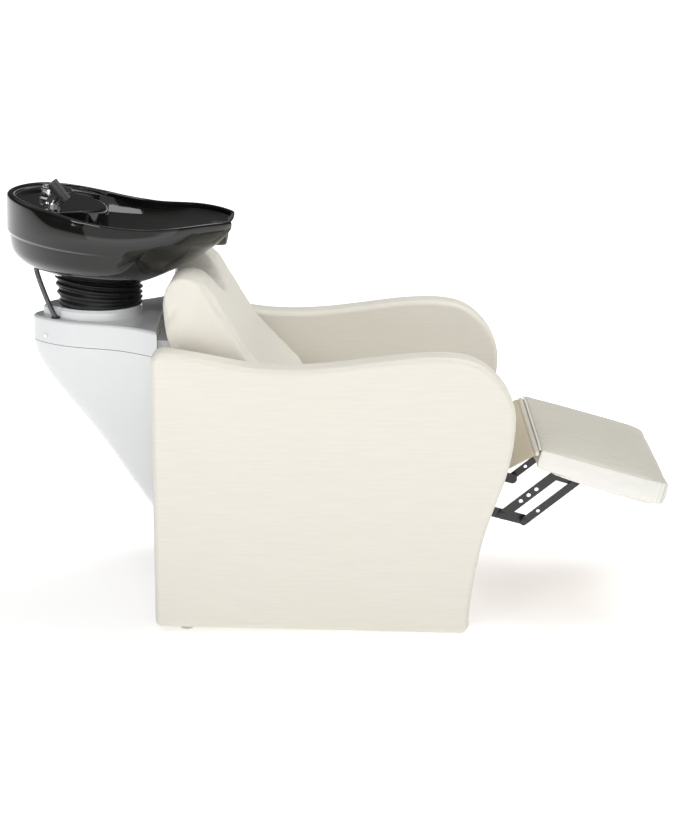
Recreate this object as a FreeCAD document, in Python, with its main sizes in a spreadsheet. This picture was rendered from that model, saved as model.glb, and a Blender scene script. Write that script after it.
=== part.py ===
import FreeCAD, Part
import math
import os
import Sketcher

# Salon backwash unit: an upholstered chair with a folding footrest, and a pedestal with a tilting basin.
# Millimetres. +X is the sitter's forward, +Y the sitter's left, +Z up. The origin is on the floor,
# under the middle of the whole unit.

Vector = FreeCAD.Vector
doc = FreeCAD.newDocument("BackwashUnit")
sheet = doc.addObject("Spreadsheet::Sheet", "dims")

# ---- driving dimensions ----------------------------------------------------------------------------
DIMS = {
    "arm_outer": 340, "arm_thick": 82, "arm_rear": -390, "arm_foot_front": 270, "arm_foot_rear": -375,
    "arm_low_front": 4, "arm_low_rear": 20, "arm_back_top": 600,
    "board_thick": 18, "board_rear": -339, "board_front": 199, "board_low": 61, "board_high": 399,
    "glide_radius": 13, "glide_front": 225, "glide_rear": -325, "glide_side": 275,
    "rail_half": 258, "rail_thick": 24, "front_rail": 175, "rear_rail": -340, "low_rail": -130,
    "frame_low": 296, "frame_high": 322, "frame_side": 160, "frame_bar": 30,
    "seat_half": 254, "seat_rear": -56, "seat_front": 276, "seat_low": 340, "seat_high": 440,
    "back_half": 250, "back_low": 342, "back_bend": 602, "scoop_radius": 100, "scoop_height": 800,
    "panel_rear": -366, "panel_thick": 14, "panel_low": 330, "panel_high": 598,
    "pad_half": 252, "pad_length": 300, "pad_thick": 45, "pad_nose_thick": 54, "pad_tilt": 16,
    "pad_x": 443.5, "pad_z": 391, "pad_board_half": 232, "pad_board_thick": 12,
    "flap_length": 74, "flap_thick": 14, "flap_tilt": 28, "flap_hinge_x": 434, "flap_hinge_z": 384,
    "pivot_x": 259, "pivot_z": 253.4, "swing_length": 160, "swing_tilt": 15, "link_pitch": 47.2,
    "lift_length": 145.9, "lift_tilt": 38.5, "link_thick": 5, "wide_link": 20, "slim_link": 16,
    "shaft_radius": 8, "rivet_radius": 4, "running_gap": 0.05,
    "bracket_side": 154, "swing_side": 161, "lift_side": 167, "pad_bracket_side": 173, "guide_side": 179,
    "shell_wall": 4, "shell_high": 587, "cover_low": 588.2, "deck_high": 644, "cover_front": -385,
    "platform_high": 667, "neck_x": -524, "neck_radius": 80, "hose_x": -619, "hose_y": -56,
    "tilt_angle": 6.5, "basin_x": -528, "basin_z": 728, "pin_x": -524, "pin_z": 690, "pin_radius": 8,
    "gaiter_radius": 94, "gaiter_neck": 88, "hose_radius": 5.5, "supply_radius": 5, "waste_radius": 15,
    "base_plate_thick": 8, "anchor_radius": 6, "anchor_x": 45, "anchor_y": 130, "anchor_middle": -157.5,
    "drain_x": -470, "drain_radius": 22, "deck_level": 884, "mixer_x": -652, "spray_x": -640, "spray_y": -62,
    "tongue_tip": -520, "tongue_foot": -505, "tongue_curve": 0.0052,
}
for row, (alias, number) in enumerate(DIMS.items(), start=1):
    sheet.set(f"A{row}", alias)
    sheet.set(f"B{row}", str(number))
    sheet.setAlias(f"B{row}", alias)
doc.recompute()
D = {alias: float(getattr(sheet, alias)) for alias in DIMS}

parts = {}                # node name -> finished object
Y_AXIS = Vector(0, 1, 0)
Z_AXIS = Vector(0, 0, 1)
X_AXIS = Vector(1, 0, 0)


# ---- helpers ---------------------------------------------------------------------------------------
def expression(term):
    """A cell name, a minus sign and a cell name, or a number, as an expression of the sheet."""
    if isinstance(term, str):
        return "-dims." + term[1:] if term.startswith("-") else "dims." + term
    return repr(float(term))


def amount(term):
    """The number that a term of expression() stands for."""
    if isinstance(term, str):
        return -D[term[1:]] if term.startswith("-") else D[term]
    return float(term)


def bind(thing, prop, term):
    """Bind a property to a cell; a longer expression is given as it stands, with dims. in it."""
    text = term if isinstance(term, str) and "dims." in term else expression(term)
    thing.setExpression(prop, text)


def node(name, thing):
    """Keep an object as the sub-part called name."""
    thing.Label = name
    parts[name] = thing
    return thing


def block(name, corner, size):
    thing = doc.addObject("Part::Box", name)
    for prop, term in zip(("Length", "Width", "Height"), size):
        bind(thing, prop, term)
    for axis, term in zip("xyz", corner):
        bind(thing, "Placement.Base." + axis, term)
    return thing


def rod(name, start, direction, radius, length):
    thing = doc.addObject("Part::Cylinder", name)
    thing.Placement = FreeCAD.Placement(Vector(0, 0, 0), FreeCAD.Rotation(Z_AXIS, direction))
    bind(thing, "Radius", radius)
    bind(thing, "Height", length)
    for axis, term in zip("xyz", start):
        bind(thing, "Placement.Base." + axis, term)
    return thing


def cut(name, base, *tools):
    thing = base
    for number, tool in enumerate(tools):
        result = doc.addObject("Part::Cut", f"{name}_cut{number}")
        result.Base = thing
        result.Tool = tool
        thing = result
    return thing


def fuse(name, *shapes):
    thing = doc.addObject("Part::MultiFuse", name)
    thing.Shapes = list(shapes)
    return thing


def group(name, things, placement=None):
    """Several solids, or one, under one name and one placement."""
    thing = doc.addObject("Part::Compound", name)
    thing.Links = list(things)
    if placement is not None:
        thing.Placement = placement
    return node(name, thing)


def draw(sketch, outline):
    """A closed outline: each step is (x, z) for a line, ("arc", through, end) or ("curve", points).
    A coordinate given as a cell's name is held at that cell's value."""
    start = outline[0]
    here = start
    geometry = []
    ends = []
    for step in list(outline[1:]) + [start]:
        def spot(pair):
            return Vector(amount(pair[0]), amount(pair[1]), 0)
        if step[0] == "arc":
            geometry.append(Part.Arc(spot(here), spot(step[1]), spot(step[2])))
            here = step[2]
        elif step[0] == "curve":
            spline = Part.BSplineCurve()
            spline.interpolate([spot(here)] + [spot(pair) for pair in step[1]])
            geometry.append(spline)
            here = step[1][-1]
        else:
            if (spot(here) - spot(step)).Length < 1e-6:
                continue
            geometry.append(Part.LineSegment(spot(here), spot(step)))
            here = step
        ends.append(here)
    first = sketch.addGeometry(geometry[0])
    for piece in geometry[1:]:
        sketch.addGeometry(piece)
    for number, (piece, end) in enumerate(zip(geometry, ends)):
        if not isinstance(piece, Part.LineSegment):
            continue
        for kind, term in zip(("DistanceX", "DistanceY"), end):
            if isinstance(term, str):
                place = sketch.addConstraint(
                    Sketcher.Constraint(kind, -1, 1, first + number, 2, amount(term)))
                sketch.setExpression(f"Constraints[{place}]", expression(term))


def plate(name, plane, outline, depth, start):
    """A body padded from an outline. On XZ the pad grows to +Y from start, on XY to +Z, on YZ to +X."""
    body = doc.addObject("PartDesign::Body", name)
    sketch = body.newObject("Sketcher::SketchObject", name + "_outline")
    support = [item for item in body.Origin.OriginFeatures if item.Role == plane + "_Plane"][0]
    sketch.AttachmentSupport = (support, "")
    sketch.MapMode = "FlatFace"
    draw(sketch, outline)
    doc.recompute()
    pad = body.newObject("PartDesign::Pad", name + "_pad")
    pad.Profile = sketch
    bind(pad, "Length", depth)
    pad.Reversed = plane == "XZ"
    bind(body, "Placement.Base." + {"XZ": "y", "XY": "z", "YZ": "x"}[plane], start)
    sketch.Visibility = False
    doc.recompute()
    return body


def both_sides(name, make):
    """The left (+Y) and right (-Y) piece of a pair; make(name, side) builds one."""
    return [make(f"{name}_{word}", side) for word, side in (("left", 1), ("right", -1))]


def feature(name, shape):
    """A free-form solid worked out from the sheet's values."""
    thing = doc.addObject("Part::Feature", name)
    thing.Shape = shape
    return thing


def spread(side, inner, thick):
    """Start of a slab on one side: inner is its distance from the middle plane."""
    return inner if side > 0 else -inner - thick


def tube_route(points):
    """Straight runs joined by tangent arcs, each as large as its two runs allow."""
    points = [Vector(*point) for point in points]
    edges = []
    radii = []
    here = points[0]
    for before, corner, after in zip(points, points[1:], points[2:]):
        back = (before - corner).normalize()
        on = (after - corner).normalize()
        turn = math.pi - back.getAngle(on)
        reach = 0.45 * min((before - corner).Length, (after - corner).Length)
        radius = reach / math.tan(turn / 2)
        radii.append(radius)
        bisector = (back + on).normalize()
        entry = corner + back * reach
        leave = corner + on * reach
        middle = corner + bisector * (radius / math.cos(turn / 2) - radius)
        edges.append(Part.LineSegment(here, entry).toShape())
        edges.append(Part.Arc(entry, middle, leave).toShape())
        here = leave
    edges.append(Part.LineSegment(here, points[-1]).toShape())
    return Part.Wire(edges), radii


def tube(name, points, radius, bore=0):
    """A hose along its route, checked against its section times its length."""
    route, radii = tube_route(points)
    heading = Vector(*points[1]) - Vector(*points[0])
    shape = None
    for size in (radius, bore):
        if size:
            ring = Part.Wire(Part.makeCircle(size, Vector(*points[0]), heading))
            swept = route.makePipeShell([ring], True, False)
            shape = swept if shape is None else shape.cut(swept)
    expected = math.pi * (radius ** 2 - bore ** 2) * route.Length
    print(f"{name}: length {route.Length:.0f}, tightest radius {min(radii):.0f}, "
          f"volume ratio {shape.Volume / expected:.4f}")
    return feature(name, shape.Solids[0])


# ---- chair: side panels, boards, glides ------------------------------------------------------------
arm_gap = D["arm_outer"] - D["arm_thick"]
ARM_OUTLINE = [
    ("arm_rear", 35), ("arm_rear", "arm_back_top"), ("arc", (-384, 620), (-366, 627)),
    ("curve", [(-289, 615), (-183, 595), (-72, 590), (71, 604), (205, 617), (261, 614), (298, 604),
               (334, 579), (365, 540), (380, 500), (381, 455), (366, 364), (327, 251), (301, 143),
               (287, 34)]),
    ("arc", (282, 11), ("arm_foot_front", "arm_low_front")),
    ("arm_foot_rear", "arm_low_rear"), ("arc", (-385.6, 24.4), ("arm_rear", 35)),
]


def arm_panel(name, side):
    body = plate(name + "_body", "XZ", ARM_OUTLINE, "arm_thick", spread(side, arm_gap, D["arm_thick"]))
    recess_depth = D["board_thick"] + 1
    recess = block(name + "_recess", ("dims.board_rear - 1", spread(side, arm_gap - 1, recess_depth + 1),
                                      "dims.board_low - 1"),
                   ("dims.board_front - dims.board_rear + 2", recess_depth + 1,
                    "dims.board_high - dims.board_low + 2"))
    return node(name, cut(name, body, recess))


def arm_board(name, side):
    return node(name, block(name, ("board_rear", spread(side, arm_gap, D["board_thick"]), "board_low"),
                            ("dims.board_front - dims.board_rear", "board_thick",
                             "dims.board_high - dims.board_low")))


arm_panels = both_sides("arm_panel", arm_panel)
both_sides("arm_board", arm_board)

glides = []
for place in ("glide_front", "glide_rear"):
    for side in (1, -1):
        pillar = rod(f"glide_{len(glides)}", (place, side * D["glide_side"], 0), Z_AXIS, "glide_radius", 24)
        glides.append(cut(f"glide_{len(glides)}", pillar, arm_panels[0 if side > 0 else 1]))
group("arm_glides", glides)

# ---- chair: rails, seat and back -------------------------------------------------------------------
RAIL_WIDTH = "dims.rail_half * 2"
node("front_rail", block("front_rail", ("front_rail", "-rail_half", 236),
                         ("rail_thick", RAIL_WIDTH, "dims.frame_low - 236")))
node("rear_rail", block("rear_rail", ("dims.rear_rail + 1", "-rail_half", 236),
                        ("rail_thick", RAIL_WIDTH, "dims.frame_low - 236")))
node("low_rail", block("low_rail", ("low_rail", "-rail_half", 100), ("rail_thick", RAIL_WIDTH, 60)))

bar_height = "dims.frame_high - dims.frame_low"
frame_bars = [block(f"frame_bar_{side}", ("dims.rear_rail + 2", side * D["frame_side"] - D["frame_bar"] / 2,
                                          "frame_low"),
                    ("dims.board_front - dims.rear_rail - 2", "frame_bar", bar_height))
              for side in (1, -1)]
for place in (-320, -60, 150):
    frame_bars.append(block(f"frame_cross_{len(frame_bars)}",
                            (place, "dims.frame_bar / 2 - dims.frame_side", "frame_low"),
                            ("frame_bar", "dims.frame_side * 2 - dims.frame_bar", bar_height)))
group("seat_frame", frame_bars)

bolts = []
for rail_place, height in ((D["front_rail"], 266), (D["rear_rail"] + 1, 266), (D["low_rail"], 130)):
    for side in (1, -1):
        start = D["rail_half"] - 30 if side > 0 else -D["rail_half"] - 17.5
        bolts.append((rail_place + D["rail_thick"] / 2, start, height))
bolt_holes = [rod(f"frame_bolt_{number}", place, Y_AXIS, 4, 47.5) for number, place in enumerate(bolts)]
for name in ("front_rail", "rear_rail", "low_rail", "arm_board_left", "arm_board_right"):
    node(name, cut(name, parts[name], *bolt_holes))
group("frame_bolts", [rod(f"bolt_shank_{number}", place, Y_AXIS, 4, 47.5)
                      for number, place in enumerate(bolts)])

node("seat_board", block("seat_board", (-340, -240, "frame_high"), (610, 480, 18)))
node("seat_cushion", block("seat_cushion", ("seat_rear", "-seat_half", "seat_low"),
                           ("dims.seat_front - dims.seat_rear", "dims.seat_half * 2",
                            "dims.seat_high - dims.seat_low")))

BACK_OUTLINE = [
    (-62, "back_low"), (-199, "back_low"), (-300, "back_bend"), (-345, "back_bend"),
    ("curve", [(-361, 655), (-367, 705), (-368, 740), (-356, 766), (-334, 778), (-308, 775),
               (-283, 755)]),
    (-190, 600), (-85, 485), (-62, 440),
]
back_body = plate("backrest_body", "XZ", BACK_OUTLINE, "dims.back_half * 2", "-back_half")
scoop = rod("neck_scoop", (-420, 0, "scoop_height"), X_AXIS, "scoop_radius", 300)
node("backrest_cushion", cut("backrest_cushion", back_body, scoop))
node("backrest_board", plate("backrest_board", "XZ", [
    (-200, "back_low"), (-215, "back_low"), (-314, 597), (-299, 597)], 480, -240))
node("rear_panel", block("rear_panel", ("panel_rear", "-back_half", "panel_low"),
                         ("panel_thick", "dims.back_half * 2", "dims.panel_high - dims.panel_low")))

# ---- footrest mechanism ----------------------------------------------------------------------------
swing_slope = math.radians(D["swing_tilt"])
lift_slope = math.radians(D["lift_tilt"])


def along(point, angle, distance):
    return (point[0] + distance * math.cos(angle), point[1] + distance * math.sin(angle))


frame_pivot = (D["pivot_x"], D["pivot_z"])
guide_low = along(frame_pivot, -swing_slope, D["swing_length"])
lift_low = along(frame_pivot, -swing_slope, D["swing_length"] - D["link_pitch"])
lift_high = along(lift_low, lift_slope, D["lift_length"])
guide_high = along(guide_low, lift_slope, D["lift_length"])


def flat_link(name, side, start, end, width, inner, holes):
    """A flat bar with round ends between two pivots; holes are (point, radius)."""
    reach = math.hypot(end[0] - start[0], end[1] - start[1])
    angle = math.atan2(end[1] - start[1], end[0] - start[0])
    half = width / 2
    outline = [(0, -half), (reach, -half), ("arc", (reach + half, 0), (reach, half)), (0, half),
               ("arc", (-half, 0), (0, -half))]
    body = plate(name + "_bar", "XZ", outline, "link_thick", spread(side, inner, D["link_thick"]))
    body.Placement = FreeCAD.Placement(
        Vector(start[0], spread(side, inner, D["link_thick"]), start[1]),
        FreeCAD.Rotation(Y_AXIS, -math.degrees(angle)))
    drills = [rod(f"{name}_hole{number}", (point[0], side * inner - 30, point[1]), Y_AXIS, radius, 60)
              for number, (point, radius) in enumerate(holes)]
    return node(name, cut(name, body, *drills))


fit_radius = D["rivet_radius"] + D["running_gap"]


rail_face = D["front_rail"] + D["rail_thick"]


def footrest_bracket(name, side):
    """A plate that carries the shaft, with a flange against the front rail."""
    x, z = frame_pivot
    eye = 13
    outline = [(rail_face, z - eye), (x, z - eye), ("arc", (x + eye, z), (x, z + eye)), (rail_face, z + 40)]
    body = plate(name + "_plate", "XZ", outline, 6, spread(side, D["bracket_side"], 6))
    flange = block(name + "_flange", (rail_face, spread(side, D["bracket_side"] - 30, 36), z - eye),
                   (5, 36, 53))
    bore = rod(name + "_bore", (x, side * D["bracket_side"] - 30, z), Y_AXIS,
               "dims.shaft_radius + dims.running_gap", 60)
    return node(name, cut(name, fuse(name + "_solid", body, flange), bore))


def swing_link(name, side):
    return flat_link(name, side, frame_pivot, guide_low, D["wide_link"] + 2, D["swing_side"],
                     [(frame_pivot, D["shaft_radius"]), (lift_low, D["rivet_radius"]),
                      (guide_low, D["rivet_radius"])])


def lift_link(name, side):
    slack = [(along(lift_low, lift_slope, 51 + 21.5 * step), 4.8) for step in range(3)]
    return flat_link(name, side, lift_low, lift_high, D["wide_link"], D["lift_side"],
                     [(lift_low, fit_radius), (lift_high, fit_radius)] + slack)


def guide_link(name, side):
    return flat_link(name, side, guide_low, guide_high, D["slim_link"], D["guide_side"],
                     [(guide_low, fit_radius), (guide_high, D["rivet_radius"] + 0.8),
                      (along(guide_low, lift_slope, 40), 4.2)])


both_sides("footrest_bracket", footrest_bracket)
both_sides("swing_link", swing_link)
both_sides("lift_link", lift_link)
both_sides("guide_link", guide_link)
shaft_end = D["swing_side"] + D["link_thick"]
node("swing_shaft", rod("swing_shaft", ("pivot_x", -shaft_end, "pivot_z"), Y_AXIS, "shaft_radius",
                        2 * shaft_end))


def across(name, point, side, inner, length, radius):
    """A round piece along Y on one side, from its distance inner outwards."""
    return rod(name, (point[0], spread(side, inner, length), point[1]), Y_AXIS, radius, length)


# Each rivet is fast in the swing link and ends in a head; the guide link's has a spacer behind the link.
RIVET_HEAD = 2.5
RIVET_SLACK = 0.4
swing_face = D["swing_side"] + D["link_thick"]
rivets = []
for side in (1, -1):
    for point, link_side in ((lift_low, D["lift_side"]), (guide_low, D["guide_side"])):
        label = f"link_rivet_{len(rivets)}"
        end = link_side + D["link_thick"] + RIVET_SLACK
        pieces = [across(label + "_shank", point, side, D["swing_side"], end - D["swing_side"],
                         "rivet_radius"),
                  across(label + "_head", point, side, end, RIVET_HEAD, 7)]
        if link_side == D["guide_side"]:
            pieces.append(across(label + "_spacer", point, side, swing_face,
                                 link_side - RIVET_SLACK - swing_face, 6))
        rivets.append(fuse(label, *pieces))
group("link_rivets", rivets)

# The footrest's own pieces are drawn level, from the top of the pad's rear edge, and then tilted.
pad_place = FreeCAD.Placement(Vector(D["pad_x"], 0, D["pad_z"]), FreeCAD.Rotation(Y_AXIS, D["pad_tilt"]))
pad_end = D["pad_length"]
pad_rear = -D["pad_thick"]
pad_nose = -D["pad_nose_thick"]
PAD_OUTLINE = [
    (2, 0), (pad_end - 16, 0), ("arc", (pad_end - 4.5, -5), (pad_end, -18)), (pad_end, pad_nose + 12),
    ("arc", (pad_end - 2.5, pad_nose + 3), (pad_end - 10, pad_nose)), (10, pad_rear),
    ("arc", (0, pad_rear + 3), (-3, pad_rear + 13)), (-3, -5), ("arc", (-1.5, -1.5), (2, 0)),
]
pad_body = plate("pad_body", "XZ", PAD_OUTLINE, "dims.pad_half * 2", "-pad_half")
pad_recess = block("pad_recess", (15, "-pad_board_half", -70), (265, "dims.pad_board_half * 2", 39))
group("footrest_cushion", [cut("footrest_cushion_core", pad_body, pad_recess)], pad_place)
group("footrest_board", [block("pad_board", (15.5, "0.5 - dims.pad_board_half", -43),
                               (264, "dims.pad_board_half * 2 - 1", "pad_board_thick"))], pad_place)
pad_inverse = pad_place.inverse()


def pad_point(point):
    local = pad_inverse.multVec(Vector(point[0], 0, point[1]))
    return (local.x, local.z)


pad_pins = [pad_point(lift_high), pad_point(guide_high)]
ears = []
for side in (1, -1):
    low = pad_pins[0][1] - 9
    ear_start = spread(side, D["pad_bracket_side"], 5)
    ear = plate(f"pad_ear_{side}", "XZ", [
        (36, -43), (pad_pins[0][0] - 9, low + 9),
        ("arc", (pad_pins[0][0] - 6, low + 2), (pad_pins[0][0], low)),
        (pad_pins[1][0], low), ("arc", (pad_pins[1][0] + 6, low + 2), (pad_pins[1][0] + 9, low + 9)),
        (124, -43)], 5, ear_start)
    foot_start = D["pad_bracket_side"] if side > 0 else -D["pad_bracket_side"] - 30
    foot = block(f"pad_foot_{side}", (30, foot_start, -47), (100, 30, 4))
    lift_pin = across(f"lift_pin_{side}", pad_pins[0], side, D["lift_side"] - RIVET_SLACK, 9,
                      "rivet_radius")
    guide_start = D["pad_bracket_side"] + 2
    guide_end = D["guide_side"] + D["link_thick"] + RIVET_SLACK
    guide_pin = across(f"guide_pin_{side}", pad_pins[1], side, guide_start, guide_end - guide_start,
                       "rivet_radius")
    ears.append(fuse(f"pad_bracket_{side}", ear, foot, lift_pin, guide_pin))
group("footrest_pad_brackets", ears, pad_place)

# Flap: drawn level, growing rearwards from its hinge line.
flap_place = FreeCAD.Placement(Vector(D["flap_hinge_x"], 0, D["flap_hinge_z"]),
                               FreeCAD.Rotation(Y_AXIS, -D["flap_tilt"]))
flap_end = -D["flap_length"]
flap_under = 4.5 - D["flap_thick"]
FLAP_OUTLINE = [
    (-6, -4), ("arc", (-3.5, 2), (-8, 4)),
    ("curve", [(-30, 5.5), (-62, 4), (flap_end, -3), (flap_end + 8, flap_under), (-34, flap_under)]),
    (-10, -8),
]
flap_body = plate("flap_body", "XZ", FLAP_OUTLINE, "dims.pad_half * 2 - 4", "2 - dims.pad_half")
group("footrest_flap", [flap_body], flap_place)
hinge = [rod(f"hinge_barrel_{number}", (0, place, 0), Y_AXIS, 2.6, 60)
         for number, place in enumerate((-200, -30, 140))]
group("flap_hinge", hinge, FreeCAD.Placement(Vector(D["flap_hinge_x"], 0, D["flap_hinge_z"]),
                                             FreeCAD.Rotation()))

# ---- pedestal --------------------------------------------------------------------------------------
# Plan outline of the pedestal: half width at each distance forward of its rear tip.
PLAN = [(0, 0), (6, 20), (17, 36), (43, 63), (90, 95), (158, 120), (204, 139), (239, 162), (269, 188),
        (303, 222)]
PLAN_LENGTH = PLAN[-1][0]
# Level, rear tip and length of the lower shell's sections, which lean forwards on the way down.
SHELL_LEVELS = [(0, -282, 160), (30, -302.5, 164), (60, -323, 168), (120, -364, 175), (250, -455, 195),
                (380, -543, 230), (480, -622, 265), (530, -655, 287), (560, -669, 298),
                (D["shell_high"], -675, PLAN_LENGTH)]


def plan_half_width(ahead):
    """The outline's half width at a distance forward of the tip, between the points of PLAN."""
    for (low, low_half), (high, high_half) in zip(PLAN, PLAN[1:]):
        if ahead <= high:
            return low_half + (high_half - low_half) * (ahead - low) / (high - low)
    return PLAN[-1][1]


def plan_wire(tip, length, level, inset=0.0, grow=0.0):
    """The pedestal's outline at one level; inset moves it inwards, grow lengthens its open front."""
    side_points = []
    for ahead, _ in PLAN[1:]:
        ahead_here = ahead / PLAN_LENGTH * length
        last = grow if ahead == PLAN_LENGTH else 0
        half = plan_half_width(ahead_here) - inset
        side_points.append(Vector(tip + inset + ahead_here + last, half, level))
    near = [Vector(point.x, -point.y, point.z) for point in reversed(side_points)]
    curve = Part.BSplineCurve()
    curve.interpolate(near + [Vector(tip + inset, 0, level)] + side_points)
    closing = Part.LineSegment(side_points[-1], near[0])
    return Part.Wire([curve.toShape(), closing.toShape()])


def shell_loft(inset=0.0, grow=0.0):
    levels = [list(level) for level in SHELL_LEVELS]
    if inset:
        levels[0][0] -= 2
        levels[-1][0] += 2
    return Part.makeLoft([plan_wire(tip, length, level, inset, grow)
                          for level, tip, length in levels], True, False)


wall = D["shell_wall"]
outer_shell = shell_loft()
inner_shell = shell_loft(inset=wall, grow=30)
chair_notch = Part.makeBox(400, 700, 700, Vector(-369, -350, 226))
node("pedestal_shell", feature("pedestal_shell", outer_shell.cut(inner_shell).cut(chair_notch)))

cover_height = D["deck_high"] - D["cover_low"]
cover_face = Part.Face(plan_wire(-675, PLAN_LENGTH, D["cover_low"]))
cover_solid = cover_face.extrude(Vector(0, 0, cover_height))
cover_solid = cover_solid.cut(Part.makeBox(400, 700, 200, Vector(D["cover_front"], -350, 560)))
top_edges = [edge for edge in cover_solid.Edges
             if all(abs(vertex.Z - D["deck_high"]) < 0.01 for vertex in edge.Vertexes)]
cover_solid = cover_solid.makeFillet(7, top_edges)
hollow_face = Part.Face(plan_wire(-675, PLAN_LENGTH, D["cover_low"] - 5, inset=wall))
hollow = hollow_face.extrude(Vector(0, 0, cover_height + 5 - wall))
hollow = hollow.cut(Part.makeBox(400, 700, 200, Vector(D["cover_front"] - wall, -350, 560)))
neck_hole = Part.makeCylinder(D["neck_radius"], 200, Vector(D["neck_x"], 0, 560))
hose_hole = Part.makeCylinder(8.8, 60, Vector(D["hose_x"], D["hose_y"], 620))

# Cover screws: one on each side near the rear tip, square to the wall.
screw_direction = Vector(-0.62, 0.785, 0).normalize()
screws = []
for side in (1, -1):
    facing = Vector(screw_direction.x, side * screw_direction.y, 0)
    start = Vector(-642, side * 54, 603) - facing * 6
    screws.append(Part.makeCylinder(4.2, 9, start, facing))
cover = cover_solid.cut(hollow).cut(neck_hole).cut(hose_hole)
for screw in screws:
    cover = cover.cut(screw)
node("pedestal_cover", feature("pedestal_cover", cover))
group("cover_screws", [feature(f"cover_screw_{number}", screw) for number, screw in enumerate(screws)])

# Raised platform on the deck, an egg in plan, round the gaiter's foot.
PLATFORM = [(-652, 0), (-641, 25), (-610, 57), (-578, 81), (-530, 95), (-485, 88), (-448, 58), (-432, 0)]


def egg_wire(level, inset):
    middle = Vector(-530, 0, 0)
    points = [Vector(x, y, 0) for x, y in PLATFORM]
    points += [Vector(x, -y, 0) for x, y in reversed(PLATFORM[1:-1])]
    shrunk = [middle + (point - middle) * (1 - inset / 105) for point in points]
    curve = Part.BSplineCurve()
    curve.interpolate([Vector(point.x, point.y, level) for point in shrunk], PeriodicFlag=True)
    return Part.Wire(curve.toShape())


platform = Part.makeLoft([egg_wire(D["deck_high"], 0), egg_wire(D["platform_high"] - 6, 1.0),
                          egg_wire(D["platform_high"], 5)], True, True)
grommet_seat = Part.makeCylinder(10.5, 60, Vector(D["hose_x"], D["hose_y"], D["deck_high"] - 5))
node("gaiter_collar", feature("gaiter_collar", platform.cut(neck_hole).cut(grommet_seat)))

node("chair_connector", block("chair_connector", ("cover_front", -188, 602), (31.8, 376, 20)))
node("hose_grommet", cut("hose_grommet", fuse("grommet_solid",
     rod("grommet_flange", ("hose_x", "hose_y", "deck_high"), Z_AXIS, 10, 2.5),
     rod("grommet_barrel", ("hose_x", "hose_y", "dims.deck_high - 8"), Z_AXIS, 8.6, 10)),
     rod("grommet_bore", ("hose_x", "hose_y", "dims.deck_high - 20"), Z_AXIS, "dims.hose_radius + 2", 40)))

# Steel base plate, column and tilt clevis.
base_body = plate("base_plate_body", "XY", [
    (-262, -24), (-212, -72), (-115, -90), (-115, 90), (-212, 72), (-262, 24)], "base_plate_thick", 0)
anchors = [rod(f"anchor_{number}", (D["anchor_middle"] + along_x * D["anchor_x"] / 2,
                                    along_y * D["anchor_y"] / 2, -5), Z_AXIS, "anchor_radius", 30)
           for number, (along_x, along_y) in enumerate([(1, 1), (1, -1), (-1, 1), (-1, -1)])]
node("base_plate", cut("base_plate", base_body, *anchors))

column_outer = plate("column_outer", "XZ", [
    (-262, "base_plate_thick"), (-200, "base_plate_thick"), (-400, 330), (-486, 600), (-556, 600),
    (-455, 330)], 50, -25)
column_inner = plate("column_inner", "XZ", [
    (-250, 0), (-212, 0), (-404, 331), (-497, 620), (-556, 620), (-449, 329)], 42, -21)
node("pedestal_column", cut("pedestal_column", column_outer, column_inner))

clevis_parts = [block("clevis_foot", (-562, -45, 600), (72, 90, 8))]
for side in (1, -1):
    x, z = D["pin_x"], D["pin_z"]
    clevis_parts.append(plate(f"clevis_ear_{side}", "XZ", [
        (x - 30, 607), (x + 30, 607), (x + 14, z), ("arc", (x, z + 14), (x - 14, z))], 6,
        spread(side, 30, 6)))
node("tilt_clevis", cut("tilt_clevis", fuse("clevis_solid", *clevis_parts),
                        rod("clevis_bore", ("pin_x", -60, "pin_z"), Y_AXIS, "pin_radius", 120)))
node("tilt_pin", rod("tilt_pin", ("pin_x", -40, "pin_z"), Y_AXIS, "pin_radius", 80))

# ---- basin: drawn level about its foot, then tilted forwards ---------------------------------------
foot = Vector(D["basin_x"], 0, D["basin_z"])
basin_turn = FreeCAD.Rotation(Y_AXIS, D["tilt_angle"])
basin_place = FreeCAD.Placement(foot - basin_turn.multVec(foot), basin_turn)
level_pin = basin_place.inverse().multVec(Vector(D["pin_x"], 0, D["pin_z"]))
foot_x = D["basin_x"]

# Level, rear reach, front reach and half width of the basin's outside, measured from its foot.
OUTSIDE = [(728, 96, 98, 96), (738, 140, 118, 128), (751, 176, 142, 160), (772, 196, 176, 189),
           (803, 203, 222, 209), (840, 206, 270, 222), (880, 210, 311, 230), (925, 213, 332, 234)]
# The same for the inside, down to its floor.
INSIDE = [(744, 60, 62, 66), (752, 96, 88, 104), (772, 112, 142, 150), (803, 116, 196, 187),
          (840, 118, 248, 207), (880, 120, 294, 218), (935, 124, 324, 224)]


WAIST_DEPTH = 0.05        # share of the half width that the waist behind the horns takes
WAIST_PLACE = 0.82        # share of the front reach at which the waist is narrowest
WAIST_SPAN = 0.12
REAR_POWER = 1.06         # above 1 points the rear end of the oval


def bowl_wire(level, rear, front, half, count=16):
    """An oval with a slightly pointed rear end, narrowed behind the horns of its front end."""
    points = []
    for step in range(2 * count):
        angle = math.pi * step / count
        forward = math.cos(angle)
        reach = front if forward > 0 else rear
        power = 1.0 if forward > 0 else REAR_POWER
        waist = 1 - WAIST_DEPTH * math.exp(-((forward - WAIST_PLACE) / WAIST_SPAN) ** 2)
        side = math.copysign(abs(math.sin(angle)) ** power, math.sin(angle)) if step % count else 0
        points.append(Vector(foot_x + reach * forward, half * side * waist, level))
    curve = Part.BSplineCurve()
    curve.interpolate(points, PeriodicFlag=True)
    return Part.Wire(curve.toShape())


def eased(low, high, value):
    """A share that goes smoothly from 0 at low to 1 at high."""
    share = min(1.0, max(0.0, (value - low) / (high - low)))
    return share * share * (3 - 2 * share)


LOWEST_RIM = 878
REAR_RISE = 22
HORN_RISE = 17


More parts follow.
